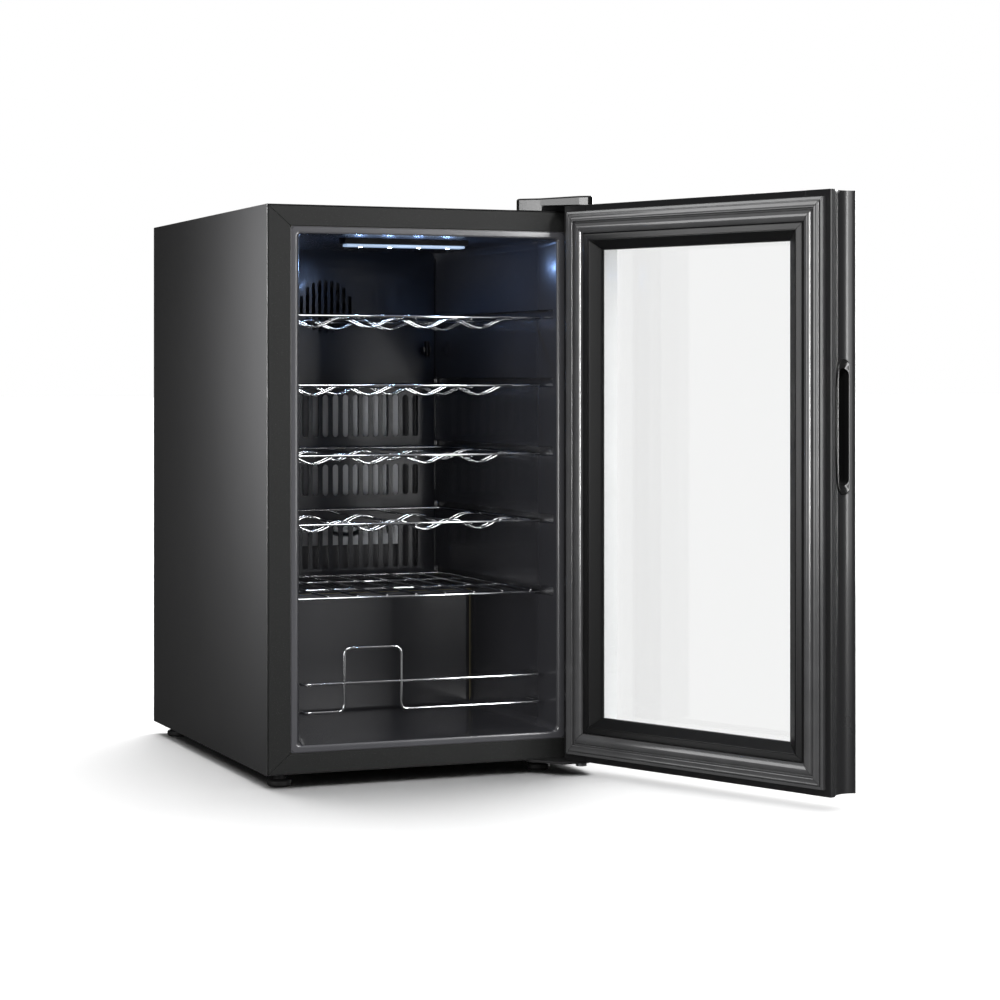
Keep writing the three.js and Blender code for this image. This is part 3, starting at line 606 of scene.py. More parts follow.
def make_floor():
    """A floor pale to the eye, white through glass and dark to everything that reflects it."""
    low = min(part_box(node)[0].z for node in ("foot_front_left", "foot_rear_left"))
    mesh = bpy.data.meshes.new("floor")
    sides = ((-1, -1), (1, -1), (1, 1), (-1, 1))
    corners = [(x * FLOOR_REACH, y * FLOOR_REACH, low) for x, y in sides]
    mesh.from_pydata(corners, [], [(0, 1, 2, 3)])
    floor = bpy.data.objects.new("floor", mesh)
    scene.collection.objects.link(floor)
    material, nodes, links, shader = blank("floor")
    shader.inputs["Roughness"].default_value = 0.9
    shader.inputs["Specular IOR Level"].default_value = 0.0
    tone = nodes.new("ShaderNodeValToRGB")
    for element, level in zip(tone.color_ramp.elements, FLOOR_TONES):
        element.color = (level, level, level, 1)
    links.new(noise(nodes, links, 0.5), tone.inputs["Fac"])
    links.new(tone.outputs["Color"], shader.inputs["Base Color"])
    path = nodes.new("ShaderNodeLightPath")
    pale = nodes.new("ShaderNodeBsdfDiffuse")
    pale.inputs["Color"].default_value = (FLOOR_SEEN, FLOOR_SEEN, FLOOR_SEEN, 1)
    white = nodes.new("ShaderNodeEmission")
    direct = nodes.new("ShaderNodeMixShader")
    links.new(path.outputs["Is Camera Ray"], direct.inputs[0])
    links.new(shader.outputs[0], direct.inputs[1])
    links.new(pale.outputs[0], direct.inputs[2])
    through = nodes.new("ShaderNodeMixShader")
    links.new(path.outputs["Is Transmission Ray"], through.inputs[0])
    links.new(direct.outputs[0], through.inputs[1])
    links.new(white.outputs[0], through.inputs[2])
    links.new(through.outputs[0], nodes["Material Output"].inputs["Surface"])
    mesh.materials.append(material)
    return floor


def soft_sun(name, energy, spread, tilt):
    """Light from a patch of sky as wide as the spread. It and the tilt are in degrees."""
    data = bpy.data.lights.new(name, "SUN")
    data.energy = energy
    data.angle = math.radians(spread)
    sun = bpy.data.objects.new(name, data)
    sun.rotation_euler = [math.radians(angle) for angle in tilt]
    scene.collection.objects.link(sun)
    return sun


def light_only(light, targets, state):
    """Links a light to some objects, or to everything but them. All of them still cast shadows."""
    linked = bpy.data.collections.new(f"{light.name}_linked")
    for target in targets:
        linked.objects.link(target)
    for entry in linked.collection_objects:
        entry.light_linking.link_state = state
    light.light_linking.receiver_collection = linked


# Each softbox: name, place, point it faces, width and height, power
ROOM_LIGHTS = (
    ("key_left", (-3.4, -2.2, 1.1), (0.1, -0.3, 0.35), (1.0, 2.4), 52),
    ("right_front", (1.9, -3.9, 1.0), (0.2, -0.4, 0.35), (0.5, 2.2), 52),
    ("right_back", (2.3, 1.7, 0.8), (0.35, -0.7, 0.35), (1.8, 2.0), 120),
    ("top_front", (-0.2, -2.6, 2.8), (0, -0.3, 0.5), (1.6, 0.8), 44),
)


def make_lights(floor):
    """The room's lights, and the floor's own two, which leave the cooler alone."""
    lights = [softbox(*settings) for settings in ROOM_LIGHTS]
    lights.append(soft_sun("room_sky", 0.8, 115, (-8, -2, 0)))
    for light in lights:
        light_only(light, [floor], "EXCLUDE")
    light_only(soft_sun("floor_sky", 1.9, 110, (-8, 6, 0)), [floor], "INCLUDE")
    low_sun = soft_sun("floor_sun", 2.9, 50, (-26, 12, 0))
    light_only(low_sun, [floor], "INCLUDE")
    return low_sun


DOOR_PIECES = ("door_", "outer_glass", "inner_glass", "glass_spacer", "inner_trim")


def soften_door_shadow(sun):
    """Lets one floor light through the door, so that the door's shadow is paler than the cabinet's."""
    shading = bpy.data.collections.new("floor_sun_shadows")
    for obj in scene.objects:
        if obj.name.startswith(DOOR_PIECES):
            shading.objects.link(obj)
    for entry in shading.collection_objects:
        entry.light_linking.link_state = "EXCLUDE"
    sun.light_linking.blocker_collection = shading


# ---- cabinet -------------------------------------------------------------------------------


STRIP_SHINE = 0.1


def light_side(panel):
    """A strip beside the panel's front edge, which brightens the panel towards the front."""
    side = PANEL_LOW.x * MM
    front = FRONT * MM - 0.02
    strip = softbox("side_strip", (side - 0.3, front, 0.56), (side, front, 0.52), (0.06, 0.56), 20)
    strip.data.specular_factor = STRIP_SHINE
    light_only(strip, [panel], "INCLUDE")


def make_cabinet():
    panels = {}
    for node in ("left_side_panel", "right_side_panel", "top_panel"):
        panels[node] = form_node(node, 0.55, SIDE_PAINT, "side_paint", 3)
    light_side(panels["left_side_panel"])
    for side in ("left", "right", "top", "bottom"):
        form_node(f"front_frame_{side}", 0.35, FRAME_PAINT, "frame_paint")
    form_node("back_panel", 0.5, BACK_PAINT, "back_paint")
    form_node("base_pan", 0.4, BACK_PAINT, "back_paint")
    frame["nodes"]["insulation_foam"].data.materials[0] = FOAM


# The tank's lip, coloured paler than the tank as a painted highlight: (inset from the flange, depth
# behind the front)
LIP_PROFILE = (
    (0.4, 0.9), (1.0, 0.25), (2.0, 0.02), (6.5, 0.0), (8.0, 0.12), (9.0, 0.7), (9.0, 1.6), (0.4, 1.6),
)
FLANGE = (TANK_HIGH.x, TANK_LOW.z, TANK_HIGH.z)


def drawn_in(outline, inset):
    """A (half width, low, high) outline made smaller all round."""
    half, low, high = outline
    return half - inset, low + inset, high - inset


def tank_loops():
    """The tank's wall in rings: the outside from back to front, then the inside from front to back."""
    back = FRONT + TANK_DEPTH
    outside = (TANK_HALF + TANK_WALL, MOUTH_LOW - 6, MOUTH_HIGH + 4)
    loops = [
        rounded_loop(*outside, TANK_CORNER, back),
        rounded_loop(*outside, TANK_CORNER, FRONT + 3),
        rounded_loop(*FLANGE, 3, FRONT + 2),
        rounded_loop(*FLANGE, 3, FRONT + 0.5),
        rounded_loop(*drawn_in(FLANGE, 0.5), 3, FRONT + 0.1),
    ]
    for k in range(7):
        angle = math.radians(90 * k / 6)
        depth = MOUTH_BEAD * math.cos(angle)
        inset = MOUTH_BEAD * math.sin(angle)
        loops.append(rounded_loop(
            MOUTH_HALF + MOUTH_BEAD - inset, MOUTH_LOW - MOUTH_BEAD + inset,
            MOUTH_HIGH + MOUTH_BEAD - inset, 9, FRONT + 0.1 + MOUTH_BEAD - depth,
        ))
    for share in (0.35, 0.8, 1.0, 1.15):
        reach = min(share, 1.0)
        loops.append(rounded_loop(
            MOUTH_HALF + (TANK_HALF - MOUTH_HALF) * reach, MOUTH_LOW + 2 * reach,
            MOUTH_HIGH - 2 * reach, 9 + 3 * reach, FRONT + FLARE_DEPTH * share,
        ))
    inside = (TANK_HALF, MOUTH_LOW + 2, MOUTH_HIGH - 2)
    loops.append(rounded_loop(*inside, TANK_CORNER, back - 14))
    loops.append(rounded_loop(*drawn_in(inside, 2), TANK_CORNER, back - 6))
    loops.append(rounded_loop(*drawn_in(inside, 10), TANK_CORNER, back - 2.5))
    return loops


def shelf_grooves():
    """What the ten grooves take out of the tank's side walls."""
    grooves = []
    near, far = FRONT + GROOVE_START, FRONT + GROOVE_START + GROOVE_LENGTH
    for shelf in range(1, FLAT_SHELF + 1):
        wire = shelf_height(shelf)
        for side in (-1, 1):
            left, right = sorted((side * (TANK_HALF - 25), side * GROOVE_HALF))
            low = (left, near, wire - WIRE - 0.4)
            high = (right, far, wire + GROOVE_HEIGHT - 2)
            grooves.append(box_mesh(low, high, 2.2, 3))
    return grooves


def make_tank():
    shell = carve(loft("tank", tank_loops()), shelf_grooves())
    tank = add("inner_tank_moulding", shell, TANK, "cabinet", "tank_plastic", ["inner_tank"], 32)

    low = (-TANK_HALF - 1, FRONT + HUMP_DEPTH, MOUTH_LOW - 2)
    high = (TANK_HALF + 1, FRONT + TANK_DEPTH - 1, HUMP_TOP)
    add("tank_hump", box_mesh(low, high, 9, 5), TANK, "cabinet", "tank_plastic")

    rim = [rounded_loop(*drawn_in(FLANGE, inset), 5, FRONT + depth) for inset, depth in LIP_PROFILE]
    # The lip's paler colour paints the highlight along the tank's mouth
    add("tank_lip", loft_ring("tank_lip", rim), TANK_LIP_HIGHLIGHT, "cabinet", "tank_plastic", smooth=50)
    fill = softbox("bay_fill", (-0.5, -2.4, 0.3), (0.1, 0, 0.1), (0.6, 0.4), 18)
    light_only(fill, [tank], "INCLUDE")


# ---- shelves and guard ---------------------------------------------------------------------


def shelf_height(shelf):
    """Height of the front wire's centre: the highest wire of a cradle shelf, the lowest of the flat."""
    low, high = mm_box(f"shelf_{shelf}")
    return low.z + WIRE if shelf == FLAT_SHELF else high.z - WIRE


def cradle_wave(x):
    """1 in the middle of each bottle's place and 0 between bottles."""
    return 0.5 - 0.5 * math.cos(2 * math.pi * (x - BOTTLES / 2 * BOTTLE_PITCH) / BOTTLE_PITCH)


def shelf_rim(low, high, z):
    """A straight wire at the front, and one bent round the sides and the back."""
    left, right = low.x + WIRE, high.x - WIRE
    near, far = low.y + WIRE, high.y - WIRE
    start = near + 2.4
    route = bent([(left, start, z), (left, far, z), (right, far, z), (right, start, z)], 9)
    straight = [(low.x + 0.4, near, z), (high.x - 0.4, near, z)]
    return [tube(straight, WIRE, 14), tube(route, WIRE, 14)]


def add_wires(name, wires, body):
    """Chromed wires as one piece, in place of the CAD node that has the body's name."""
    add(name, merged("wires", wires), CHROME, body, "chrome", [body], 60, weighted=False)


CRADLE_WIRES = (0.19, 0.235, 0.58, 0.625)  # their places, as shares of the shelf's depth
CRADLE_STEPS = 64


def make_cradle_shelf(shelf):
    low, high = mm_box(f"shelf_{shelf}")
    z = shelf_height(shelf)
    span = BOTTLES / 2 * BOTTLE_PITCH
    length = high.y - low.y - 2 * WIRE
    wires = shelf_rim(low, high, z)
    top = z - 0.4
    for share in CRADLE_WIRES:
        y = low.y + WIRE + share * length
        points = [(low.x + 2.5, y, top), (-span - 2, y, top)]
        for k in range(CRADLE_STEPS + 1):
            x = -span + 2 * span * k / CRADLE_STEPS
            points.append((x, y, top - (CRADLE_DIP - 1) * cradle_wave(x)))
        points += [(span + 2, y, top), (high.x - 2.5, y, top)]
        wires.append(tube(points, THIN_WIRE, 10))
    for x in (-span / 2, 0, span / 2):
        near, far = low.y + WIRE, high.y - WIRE
        wires.append(tube([(x, near + 1, z - 2.6), (x, far - 1, z - 2.6)], THIN_WIRE, 10))
    add_wires(f"shelf_{shelf}_wires", wires, f"shelf_{shelf}")


def make_flat_shelf(shelf):
    low, high = mm_box(f"shelf_{shelf}")
    z = shelf_height(shelf)
    wires = shelf_rim(low, high, z)
    near, far = low.y + WIRE, high.y - WIRE
    for i in range(-4, 5):
        x = i * BAR_PITCH
        wires.append(tube([(x, near - 0.6, z + 2.4), (x, far + 0.6, z + 2.4)], THIN_WIRE, 10))
    for share in (0.36, 0.7):
        y = near + share * (far - near)
        wires.append(tube([(low.x + 2.5, y, z), (high.x - 2.5, y, z)], WIRE, 12))
    add_wires(f"shelf_{shelf}_wires", wires, f"shelf_{shelf}")


HOOP_LEFT, HOOP_RIGHT = -107.5, -31.8
GUARD_BEND = 9


def make_guard():
    """An upper wire and a lower one with a hoop in it, both bent back into the side walls."""
    left, right = GUARD_LOW.x + WIRE, GUARD_HIGH.x - WIRE
    near, far = GUARD_LOW.y + WIRE + 2, GUARD_HIGH.y - WIRE + 1.5
    low, top, hoop = GUARD_LOW.z + WIRE, GUARD_LOW.z + WIRE + 35, GUARD_HIGH.z - WIRE
    step = near - 2
    upper = [(left, far, top), (left, near, top), (right, near, top), (right, far, top)]
    lower = [
        (left, far, low), (left, step, low), (HOOP_LEFT, step, low), (HOOP_LEFT, step, hoop),
        (HOOP_RIGHT, step, hoop), (HOOP_RIGHT, step, low), (right, step, low), (right, far, low),
    ]
    wires = [tube(bent(route, GUARD_BEND), WIRE, 14) for route in (upper, lower)]
    add_wires("bottle_guard_wires", wires, "bottle_guard")


# ---- air duct, lamp and sensor -------------------------------------------------------------


def stadium(x, z, width, height, y0, y1):
    """A bar from y0 to y1 with the outline of an upright slot."""
    radius = width / 2
    loops = []
    for y in (y0, y1):
        loop = []
        for centre, start in ((z + height / 2 - radius, 0), (z - height / 2 + radius, 180)):
            for k in range(SLOT_STEPS + 1):
                angle = math.radians(start + 180 * k / SLOT_STEPS)
                loop.append((x + radius * math.cos(angle), y, centre + radius * math.sin(angle)))
        loops.append(loop)
    return loft("slot", loops)


SLOT_PITCH = 15
SLOT_WIDTH = 9
SLOT_ROWS = ((436, 60), (345, 44), (250, 60))  # (height of the middle, length)
RIB_HEIGHTS = (392, 480, 304)
FAN_CENTRE = 590
FAN_RADIUS = 40
FAN_PITCH = 9


def make_duct():
    """A slotted plate with a round grille in front of the fan, and a roof back to the wall."""
    low, high = DUCT_LOW, DUCT_HIGH
    plate = box_mesh((low.x, low.y, low.z), (high.x, low.y + 3, high.z), 1.2, 2)
    slots = []
    reach = int((high.x - 20) / SLOT_PITCH)
    for centre, height in SLOT_ROWS:
        for i in range(-reach, reach + 1):
            slots.append(stadium(i * SLOT_PITCH, centre, SLOT_WIDTH, height, low.y - 1, low.y + 5))
    for i in range(-4, 5):
        x = i * FAN_PITCH
        tall = 2 * math.sqrt(FAN_RADIUS ** 2 - x ** 2)
        slots.append(stadium(x, FAN_CENTRE, 5, tall - 4, low.y - 1, low.y + 5))
    slotted = carve(plate, slots)
    ribs = []
    for z in RIB_HEIGHTS:
        ribs.append(box_mesh((low.x + 4, low.y - 0.9, z - 1), (high.x - 4, low.y + 0.4, z + 1), 0.8))
    roof = box_mesh((low.x, low.y + 1, high.z - 2.5), (high.x, high.y, high.z), 0.6)
    add("duct_cover_moulding", merged("duct", [slotted, *ribs, roof]), TANK, "cabinet", "tank_plastic",
        ["duct_cover"], 32, weighted=False)
    frame["nodes"]["evaporator_plate"].data.materials[0] = STEEL
    frame["nodes"]["fan_motor"].data.materials[0] = BLACK
    frame["nodes"]["circulation_fan"].data.materials[0] = BLACK


LED_PLACES = (-60, -20, 20, 60)
LED_PROFILE = ((0.1, -0.6), (2.2, -0.6), (2.6, 0), (2.6, 0.6), (0.1, 0.6))
LED_POWER = 0.11
LED_TINT = (0.3, 0.5, 1.0)
LED_RADIUS = 0.004  # metres
LED_DROP = 20


def make_lamp():
    form_node("lamp_housing", 0.8, BLACK, "black_plastic")
    lens_low, lens_high = mm_box("lamp_lens")
    lens = box_mesh(lens_low, lens_high, 1.0, 3)
    add("lamp_lens_moulding", lens, LENS, "cabinet", "lamp_lens", ["lamp_lens"])
    middle = (lens_low.y + lens_high.y) / 2
    dots = [turned(LED_PROFILE, (x, middle, lens_low.z), 20) for x in LED_PLACES]
    add("lamp_leds", merged("leds", dots), LED, "cabinet", "lamp_lens")
    for x in LED_PLACES:
        bulb = bpy.data.lights.new(f"led_{x}", "POINT")
        bulb.energy = LED_POWER
        bulb.color = LED_TINT
        bulb.shadow_soft_size = LED_RADIUS
        glow = bpy.data.objects.new(f"led_{x}", bulb)
        glow.location = Vector((x, middle, lens_low.z - LED_DROP)) * MM
        glow.visible_camera = False
        scene.collection.objects.link(glow)
        light_only(glow, INTERIOR, "INCLUDE")
    form_node("temperature_sensor", 0.6, BLACK, "black_plastic")


# ---- door ----------------------------------------------------------------------------------


def stile_profile():
    """Outline of the door's edge in u and w, hollowed along its side."""
    reach = math.asin(SCOOP_HALF / SCOOP_RADIUS)
    outline = [(1.6, RIM), (0.5, RIM + 0.4), (0, RIM + 1.2)]
    steps = 22
    for k in range(steps + 1):
        angle = -reach + 2 * reach * k / steps
        outline.append((
            SCOOP_DEPTH - SCOOP_RADIUS + SCOOP_RADIUS * math.cos(angle),
            SCOOP_MIDDLE + SCOOP_RADIUS * math.sin(angle),
        ))
    corner = 1.8
    for k in range(5):
        angle = math.radians(90 * k / 4)
        u = corner - corner * math.cos(angle)
        outline.append((u, DOOR_THICK - corner + corner * math.sin(angle)))
    outline += [
        (LIP - 0.6, DOOR_THICK), (LIP, DOOR_THICK - 0.6), (LIP, DOOR_THICK - BACK_LIP),
        (STILE, DOOR_THICK - BACK_LIP), (STILE, RIM),
    ]
    return outline


def stile(outline):
    """A bar with an outline in u and w, over the door's whole height."""
    loops = [[door_point(u, w, z) for u, w in outline] for z in (DOOR_LOW, DOOR_HIGH)]
    return loft("stile", loops)


GRIP_CENTRE = 432
GRIP_LENGTH = 160
GRIP_NEAR, GRIP_FAR = 17.5, 43
GRIP_STRAIGHT = 32
GRIP_CORNER = 8
GRIP_DEPTH = 23
SLOT_CENTRE_W = 33.5
SLOT_HALF_W = 6
SLOT_LENGTH = 136


def grip_outline(grow=0.0):
    """The grip's outline in w and z: straight towards the room, bowed towards the seal."""
    half = GRIP_LENGTH / 2 + grow
    steps = 24
    bow = []
    for k in range(steps + 1):
        t = -1 + 2 * k / steps
        depth = (1 - abs(t) ** 2.6) ** 0.5
        w = GRIP_STRAIGHT - (GRIP_STRAIGHT - GRIP_NEAR + grow) * depth
        bow.append((w, GRIP_CENTRE + t * half))
    far = []
    for start, sign in ((90, 1), (0, -1)):
        for k in range(7):
            angle = math.radians(start - 15 * k)
            far.append((
                GRIP_FAR + grow - GRIP_CORNER + GRIP_CORNER * math.cos(angle),
                GRIP_CENTRE + sign * (half - GRIP_CORNER) + GRIP_CORNER * math.sin(angle),
            ))
    return bow + far


def scoop_depth(w):
    """The depth at w of the hollow along the door's edge."""
    square = SCOOP_RADIUS ** 2 - (w - SCOOP_MIDDLE) ** 2
    return SCOOP_DEPTH - SCOOP_RADIUS + math.sqrt(max(square, 0))


EDGE_PIECES = []  # the free edge's pieces, which have two softboxes of their own


# The bezel's rings, from its edge to its middle: (share of the outline, height above the door)
BEZEL_RINGS = ((1.0, 0.2), (0.985, 0.9), (0.95, 1.25), (0.9, 1.1), (0.6, 0.8), (0.2, 0.8))
END_SHRINK = 0.16  # how much less the rings draw in along the grip than across it


def slot_loop(u, spread):
    """The finger slot's outline at u, wider than the slot by the spread."""
    reach = SLOT_HALF_W + spread
    half = SLOT_LENGTH / 2 - SLOT_HALF_W
    loop = []
    for centre, start in ((GRIP_CENTRE + half, 0), (GRIP_CENTRE - half, 180)):
        for k in range(13):
            angle = math.radians(start + 15 * k)
            w = SLOT_CENTRE_W + reach * math.cos(angle)
            loop.append(door_point(u, w, centre + reach * math.sin(angle)))
    return loop


def make_grip():
    """A bezel that follows the hollow of the door's edge, with a finger slot in it."""
    outline = grip_outline()
    middle = (sum(w for w, z in outline) / len(outline), GRIP_CENTRE)

    def ring(share, proud):
        loop = []
        for w, z in outline:
            w2 = middle[0] + (w - middle[0]) * share
            z2 = middle[1] + (z - middle[1]) * (1 - (1 - share) * END_SHRINK)
            loop.append(door_point(DOOR_WIDTH - scoop_depth(w2) + proud, w2, z2))
        return loop

    loops = [[door_point(DOOR_WIDTH - GRIP_DEPTH, w, z) for w, z in outline]]
    loops += [ring(*settings) for settings in BEZEL_RINGS]
    bezel = loft("grip", loops)
    stages = ((20, 0), (9.5, 0.2), (0, 3))
    slot = loft("slot", [slot_loop(DOOR_WIDTH - deep, wide) for deep, wide in stages])
    mesh = carve(bezel, [slot])
    grip = add("door_grip_moulding", mesh, GLOSS_BLACK, "door", "black_plastic", ["door_grip"], 40)
    EDGE_PIECES.append(grip)


def light_edge():
    """Two softboxes that only the free edge's pieces reflect."""
    edge = (0.36, -0.69, 0.4)
    front = softbox("edge_front", (1.0, -4.1, 1.0), edge, (1.3, 2.2), 26)
    light_only(front, EDGE_PIECES, "INCLUDE")
    side = softbox("edge_side", (3.2, 0.15, 0.7), edge, (1.3, 2.4), 150)
    light_only(side, EDGE_PIECES, "INCLUDE")


BUSH_RADIUS = 6.6
BUSH_LENGTH = 18
GRIP_GAP = 0.25


def add_stile(side, mesh):
    node = f"door_stile_{side}"
    return add(f"{node}_profile", mesh, DOOR_BLACK, "door", "door_black", [node], 30)


def make_door_frame():
    """Two stiles, one with holes for the bushes and one with a hole for the grip, and two rails."""
    outline = stile_profile()
    hinge_side = stile(outline)
    holes = []
    for z in (DOOR_HIGH - 16, DOOR_LOW - 2):
        sides = [(BUSH_RADIUS, z), (BUSH_RADIUS, z + BUSH_LENGTH)]
        holes.append(turned(sides, (HINGE.x, HINGE.y, 0), 32))
    add_stile("hinge", carve(hinge_side, holes))

    free_side = stile([(DOOR_WIDTH - u, w) for u, w in outline])
    around = grip_outline(GRIP_GAP)
    ends = (DOOR_WIDTH - GRIP_DEPTH - 1, DOOR_WIDTH + 2)
    hole = loft("hole", [[door_point(u, w, z) for w, z in around] for u in ends])
    EDGE_PIECES.append(add_stile("free", carve(free_side, [hole])))
    for rail in ("top", "bottom"):
        form_node(f"door_rail_{rail}", 0.5, DOOR_BLACK, "door_black")
        form_node(f"door_bush_{rail}", 0.3, RUBBER, "rubber")


def mitred(name, profile, seam, squeeze=1.0):
    """A frame round the door from a closed profile of (inset, w), in four mitred lengths.

    Each end stops short by the seam. The top and bottom are narrower than the sides, by the squeeze."""
    bars = []
    start = min(inset for inset, w in profile)
    for side in range(4):
        loops = []
        for end in (0, 1):
            loop = []
            for inset, w in profile:
                inset_end = start + (inset - start) * squeeze
                across = (inset + seam, DOOR_WIDTH - inset - seam)[end]
                along = (DOOR_LOW + inset_end + seam, DOOR_HIGH - inset_end - seam)[end]
                point = {
                    0: (inset, w, along), 1: (DOOR_WIDTH - inset, w, along),
                    2: (across, w, DOOR_LOW + inset_end), 3: (across, w, DOOR_HIGH - inset_end),
                }[side]
                loop.append(door_point(*point))
            loops.append(loop)
        bars.append(loft(name, loops))
    return merged(name, bars)


# Both profiles: (inset from the door's edge, w), with w below 0 in front of the inner face
SEAL_SEAM = 0.35
SEAL_PROFILE = [
    (8, 2.2), (8, -1.6), (8.4, -2.4), (9.2, -2.7), (11.8, -2.6), (12.2, -1.4), (12.7, -1.4), (13, -4),
    (13.6, -4.5), (14.4, -4.5), (16.6, -4.1), (18.6, -4.6), (19.6, -5.1), (20.4, -5.1), (21, -4.6),
    (21.4, -1.8), (22.3, -1), (23.1, -1.8), (23.8, -3.6), (25.4, -4.5), (27.4, -5.2), (29, -5.5),
    (31, -5.3), (33, -4.7), (35, -3.7), (36.3, -2.7), (36.7, -1.4), (36.7, 2.2),
]
TRIM_SEAM = 0.25
TRIM_PROFILE = [
    (37.3, 9), (37.3, -1.6), (37.7, -2.6), (38.6, -3.2), (40, -3.4), (46.8, -3.2), (47.5, -2.6),
    (48, -2.6), (48.5, -3), (49.3, -2.8), (62.2, 4.9), (63.3, 5.8), (63.9, 7), (64, 9),
]
TRIM_SQUEEZE = (WINDOW_END - STILE) / (WINDOW - STILE)


def light_seal(seal, trim):
    """Softboxes that only the seal and the trim reflect, so that the panes stay clear of them."""
    target = (0.3, -0.65, 0.35)
    back = softbox("seal_back", (-3.2, 0.5, 1.0), target, (1.1, 2.0), 42)
    light_only(back, [seal, trim], "INCLUDE")
    front = softbox("seal_front", (-3.0, -2.7, 1.0), target, (0.2, 2.0), 150)
    light_only(front, [seal], "INCLUDE")


def make_door_fill():
    bars = mitred("seal", SEAL_PROFILE, SEAL_SEAM)
    seal = add("door_seal_profile", bars, SEAL, "door", "seal_rubber", ["door_seal"], 40)
    bars = mitred("trim", TRIM_PROFILE, TRIM_SEAM, TRIM_SQUEEZE)
    trim = add("inner_trim_profile", bars, TRIM_BLACK, "door", "black_plastic", ["inner_trim"], 25)
    light_seal(seal, trim)
    form_node("outer_glass", 0.4, PANE, "glass")
    form_node("inner_glass", 0.4, PANE, "glass")
    form_node("glass_spacer", 0.4, SPACER, "steel")


# ---- hinges and feet -----------------------------------------------------------------------


COVER_ROUNDING = 2.5
COVER_DROP = 4
COVER_WALL = 1.3
COVER_CORNER = 12
COVER_SLANT = 22
COVER_LEFT = COVER_LOW.x + 8
COVER_TOP = COVER_HIGH.z + 1
SHOULDER_END, NOSE_START = 150, 189


def cover_outline(inset, z, drop=0.0):
    """The hinge cover's plan, drawn in by an inset, at height z and lower by the drop at its left."""
    left, right = COVER_LEFT + inset, COVER_HIGH.x - inset
    front, back = COVER_LOW.y + inset, COVER_HIGH.y - inset
    corner = COVER_CORNER - inset
    shoulder = FRONT + 1.2 + inset
    plan = [
        (left + COVER_SLANT, back), (left, back - COVER_SLANT), (left, shoulder),
        (SHOULDER_END + inset * 0.4, shoulder), (NOSE_START, front),
    ]
    for k in range(9):
        angle = math.radians(-90 + 90 * k / 8)
        x = right - corner + corner * math.cos(angle)
        plan.append((x, front + corner + corner * math.sin(angle)))
    plan.append((right, back))
    return [(x, y, z - drop * (right - x) / (right - left)) for x, y in plan]


def make_cover():
    """A hollow cover that is open below, and in front where the door turns under it."""
    loops = [
        cover_outline(0, COVER_LOW.z), cover_outline(0, COVER_TOP - COVER_ROUNDING, COVER_DROP),
    ]
    for k in range(1, 6):
        angle = math.radians(90 * k / 5)
        inset = COVER_ROUNDING * (1 - math.cos(angle))
        height = COVER_TOP - COVER_ROUNDING * (1 - math.sin(angle))
        loops.append(cover_outline(inset, height, COVER_DROP))
    hollow = loft("hollow", [
        cover_outline(COVER_WALL, COVER_LOW.z - 1), cover_outline(COVER_WALL, COVER_TOP - 3, COVER_DROP),
    ])
    below = (COVER_LOW.x - 5, COVER_LOW.y - 5, COVER_LOW.z - 2)
    door_way = box_mesh(below, (HALF + 5, FRONT + 1, DOOR_HIGH + 1))
    cover = carve(carve(loft("cover", loops), [hollow]), [door_way])
    add("hinge_cover_moulding", cover, GLOSS_BLACK, "cabinet", "black_plastic", ["hinge_cover"], 30)


def make_hinges():
    """The brackets and pins. The upper bracket is cut to what fits inside the cover."""
    inset = COVER_WALL + 0.3
    room = loft("room", [cover_outline(inset, COVER_LOW.z - 2), cover_outline(inset, COVER_TOP)])
    node = "upper_hinge_bracket"
    bracket = carve(formed(node, 0.4), [room], "INTERSECT")
    add(f"{node}_formed", bracket, DARK_STEEL, "cabinet", "steel", [node], 30)
    form_node("lower_hinge_bracket", 0.4, DARK_STEEL, "steel")
    for node in ("upper_hinge_pin", "lower_hinge_pin"):
        form_node(node, 0.4, STEEL, "steel")


# Round profiles: (radius, height above the lowest point)
FOOT_PROFILE = (
    (0.1, 0), (12.2, 0), (13.6, 0.5), (14.6, 1.6), (15, 3), (15, 6), (14.4, 7.4), (12.8, 8.3),
    (9.2, 8.9), (8, 9.6),
)
COMPRESSOR_PROFILE = (
    (0.1, 3), (40, 3), (50, 6), (57, 13), (60, 22), (60.5, 55), (60.5, 57.5), (64, 58.2), (64, 62.4),
    (60.5, 63), (60, 74), (57.5, 90), (50, 104), (38, 113), (22, 118), (0.1, 119),
)


def make_feet():
    """Four round rubber feet, each on a narrower neck."""
    for place in ("front_left", "front_right", "rear_left", "rear_right"):
        node = f"foot_{place}"
        low, high = mm_box(node)
        centre = ((low.x + high.x) / 2, (low.y + high.y) / 2, 0)
        base, top = low.z, high.z
        profile = [(radius, base + height) for radius, height in FOOT_PROFILE]
        profile += [(8, top - 0.6), (7.4, top), (0.1, top)]
        mesh = turned(profile, centre, 48)
        add(f"{node}_moulding", mesh, RUBBER, body_of_node(node), "rubber", [node], 40)


# ---- machine compartment -------------------------------------------------------------------


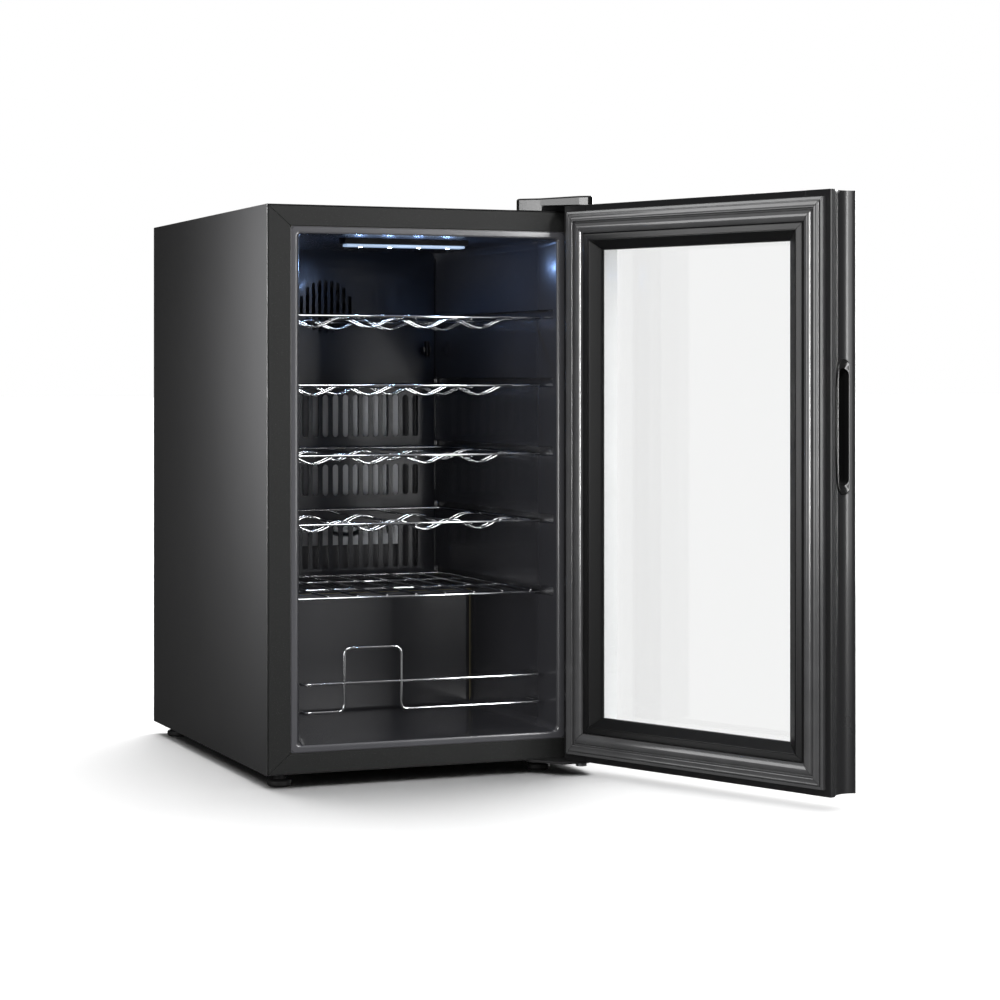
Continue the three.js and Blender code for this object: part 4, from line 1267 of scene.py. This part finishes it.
LEG_X, LEG_Y = 62, 40
LEG_HALF_X, LEG_HALF_Y = 12, 10


def make_compressor():
    """A round welded shell on a plate with four legs, with a box over its terminals."""
    low, high = COMPRESSOR_LOW, COMPRESSOR_HIGH
    x, y = (low.x + high.x) / 2, (low.y + high.y) / 2
    base = low.z
    profile = [(radius, base + height) for radius, height in COMPRESSOR_PROFILE]
    parts = [turned(profile, (x, y, 0), 56)]
    parts.append(box_mesh((x - 62, y - 46, base), (x + 62, y + 46, base + 3), 1.2))
    for across in (-LEG_X, LEG_X):
        for along in (-LEG_Y, LEG_Y):
            low = (x + across - LEG_HALF_X, y + along - LEG_HALF_Y, base)
            high = (x + across + LEG_HALF_X, y + along + LEG_HALF_Y, base + 3)
            parts.append(box_mesh(low, high, 1.4))
    parts.append(box_mesh((x + 46, y + 8, base + 20), (x + 74, y + 46, base + 62), 3, 3))
    mesh = merged("compressor", parts)
    add("compressor_shell", mesh, DARK_STEEL, "cabinet", "compressor_paint", ["compressor"], 35)


def make_machines():
    make_compressor()
    for k in range(1, 5):
        form_node(f"compressor_mount_{k}", 0.8, RUBBER, "rubber")
    form_node("compressor_plate", 0.5, STEEL, "steel")
    form_node("drain_tray", 0.6, BLACK, "black_plastic")
    form_node("control_box", 2.5, BLACK, "black_plastic", 3)
    form_node("power_inlet", 0.5, BLACK, "black_plastic")
    form_node("condenser_fan_frame", 0.8, BLACK, "black_plastic")
    frame["nodes"]["condenser_fan"].data.materials[0] = BLACK
    frame["nodes"]["condenser_coil"].data.materials[0] = COPPER


# ---- order of building ---------------------------------------------------------------------

make_camera()
make_world()
floor_sun = make_lights(make_floor())
scene.view_settings.view_transform = "Standard"
make_cabinet()
make_tank()
for number in range(1, FLAT_SHELF):
    make_cradle_shelf(number)
make_flat_shelf(FLAT_SHELF)
make_guard()
make_duct()
make_lamp()
make_door_frame()
make_grip()
light_edge()
make_door_fill()
make_cover()
make_hinges()
make_feet()
make_machines()
soften_door_shadow(floor_sun)
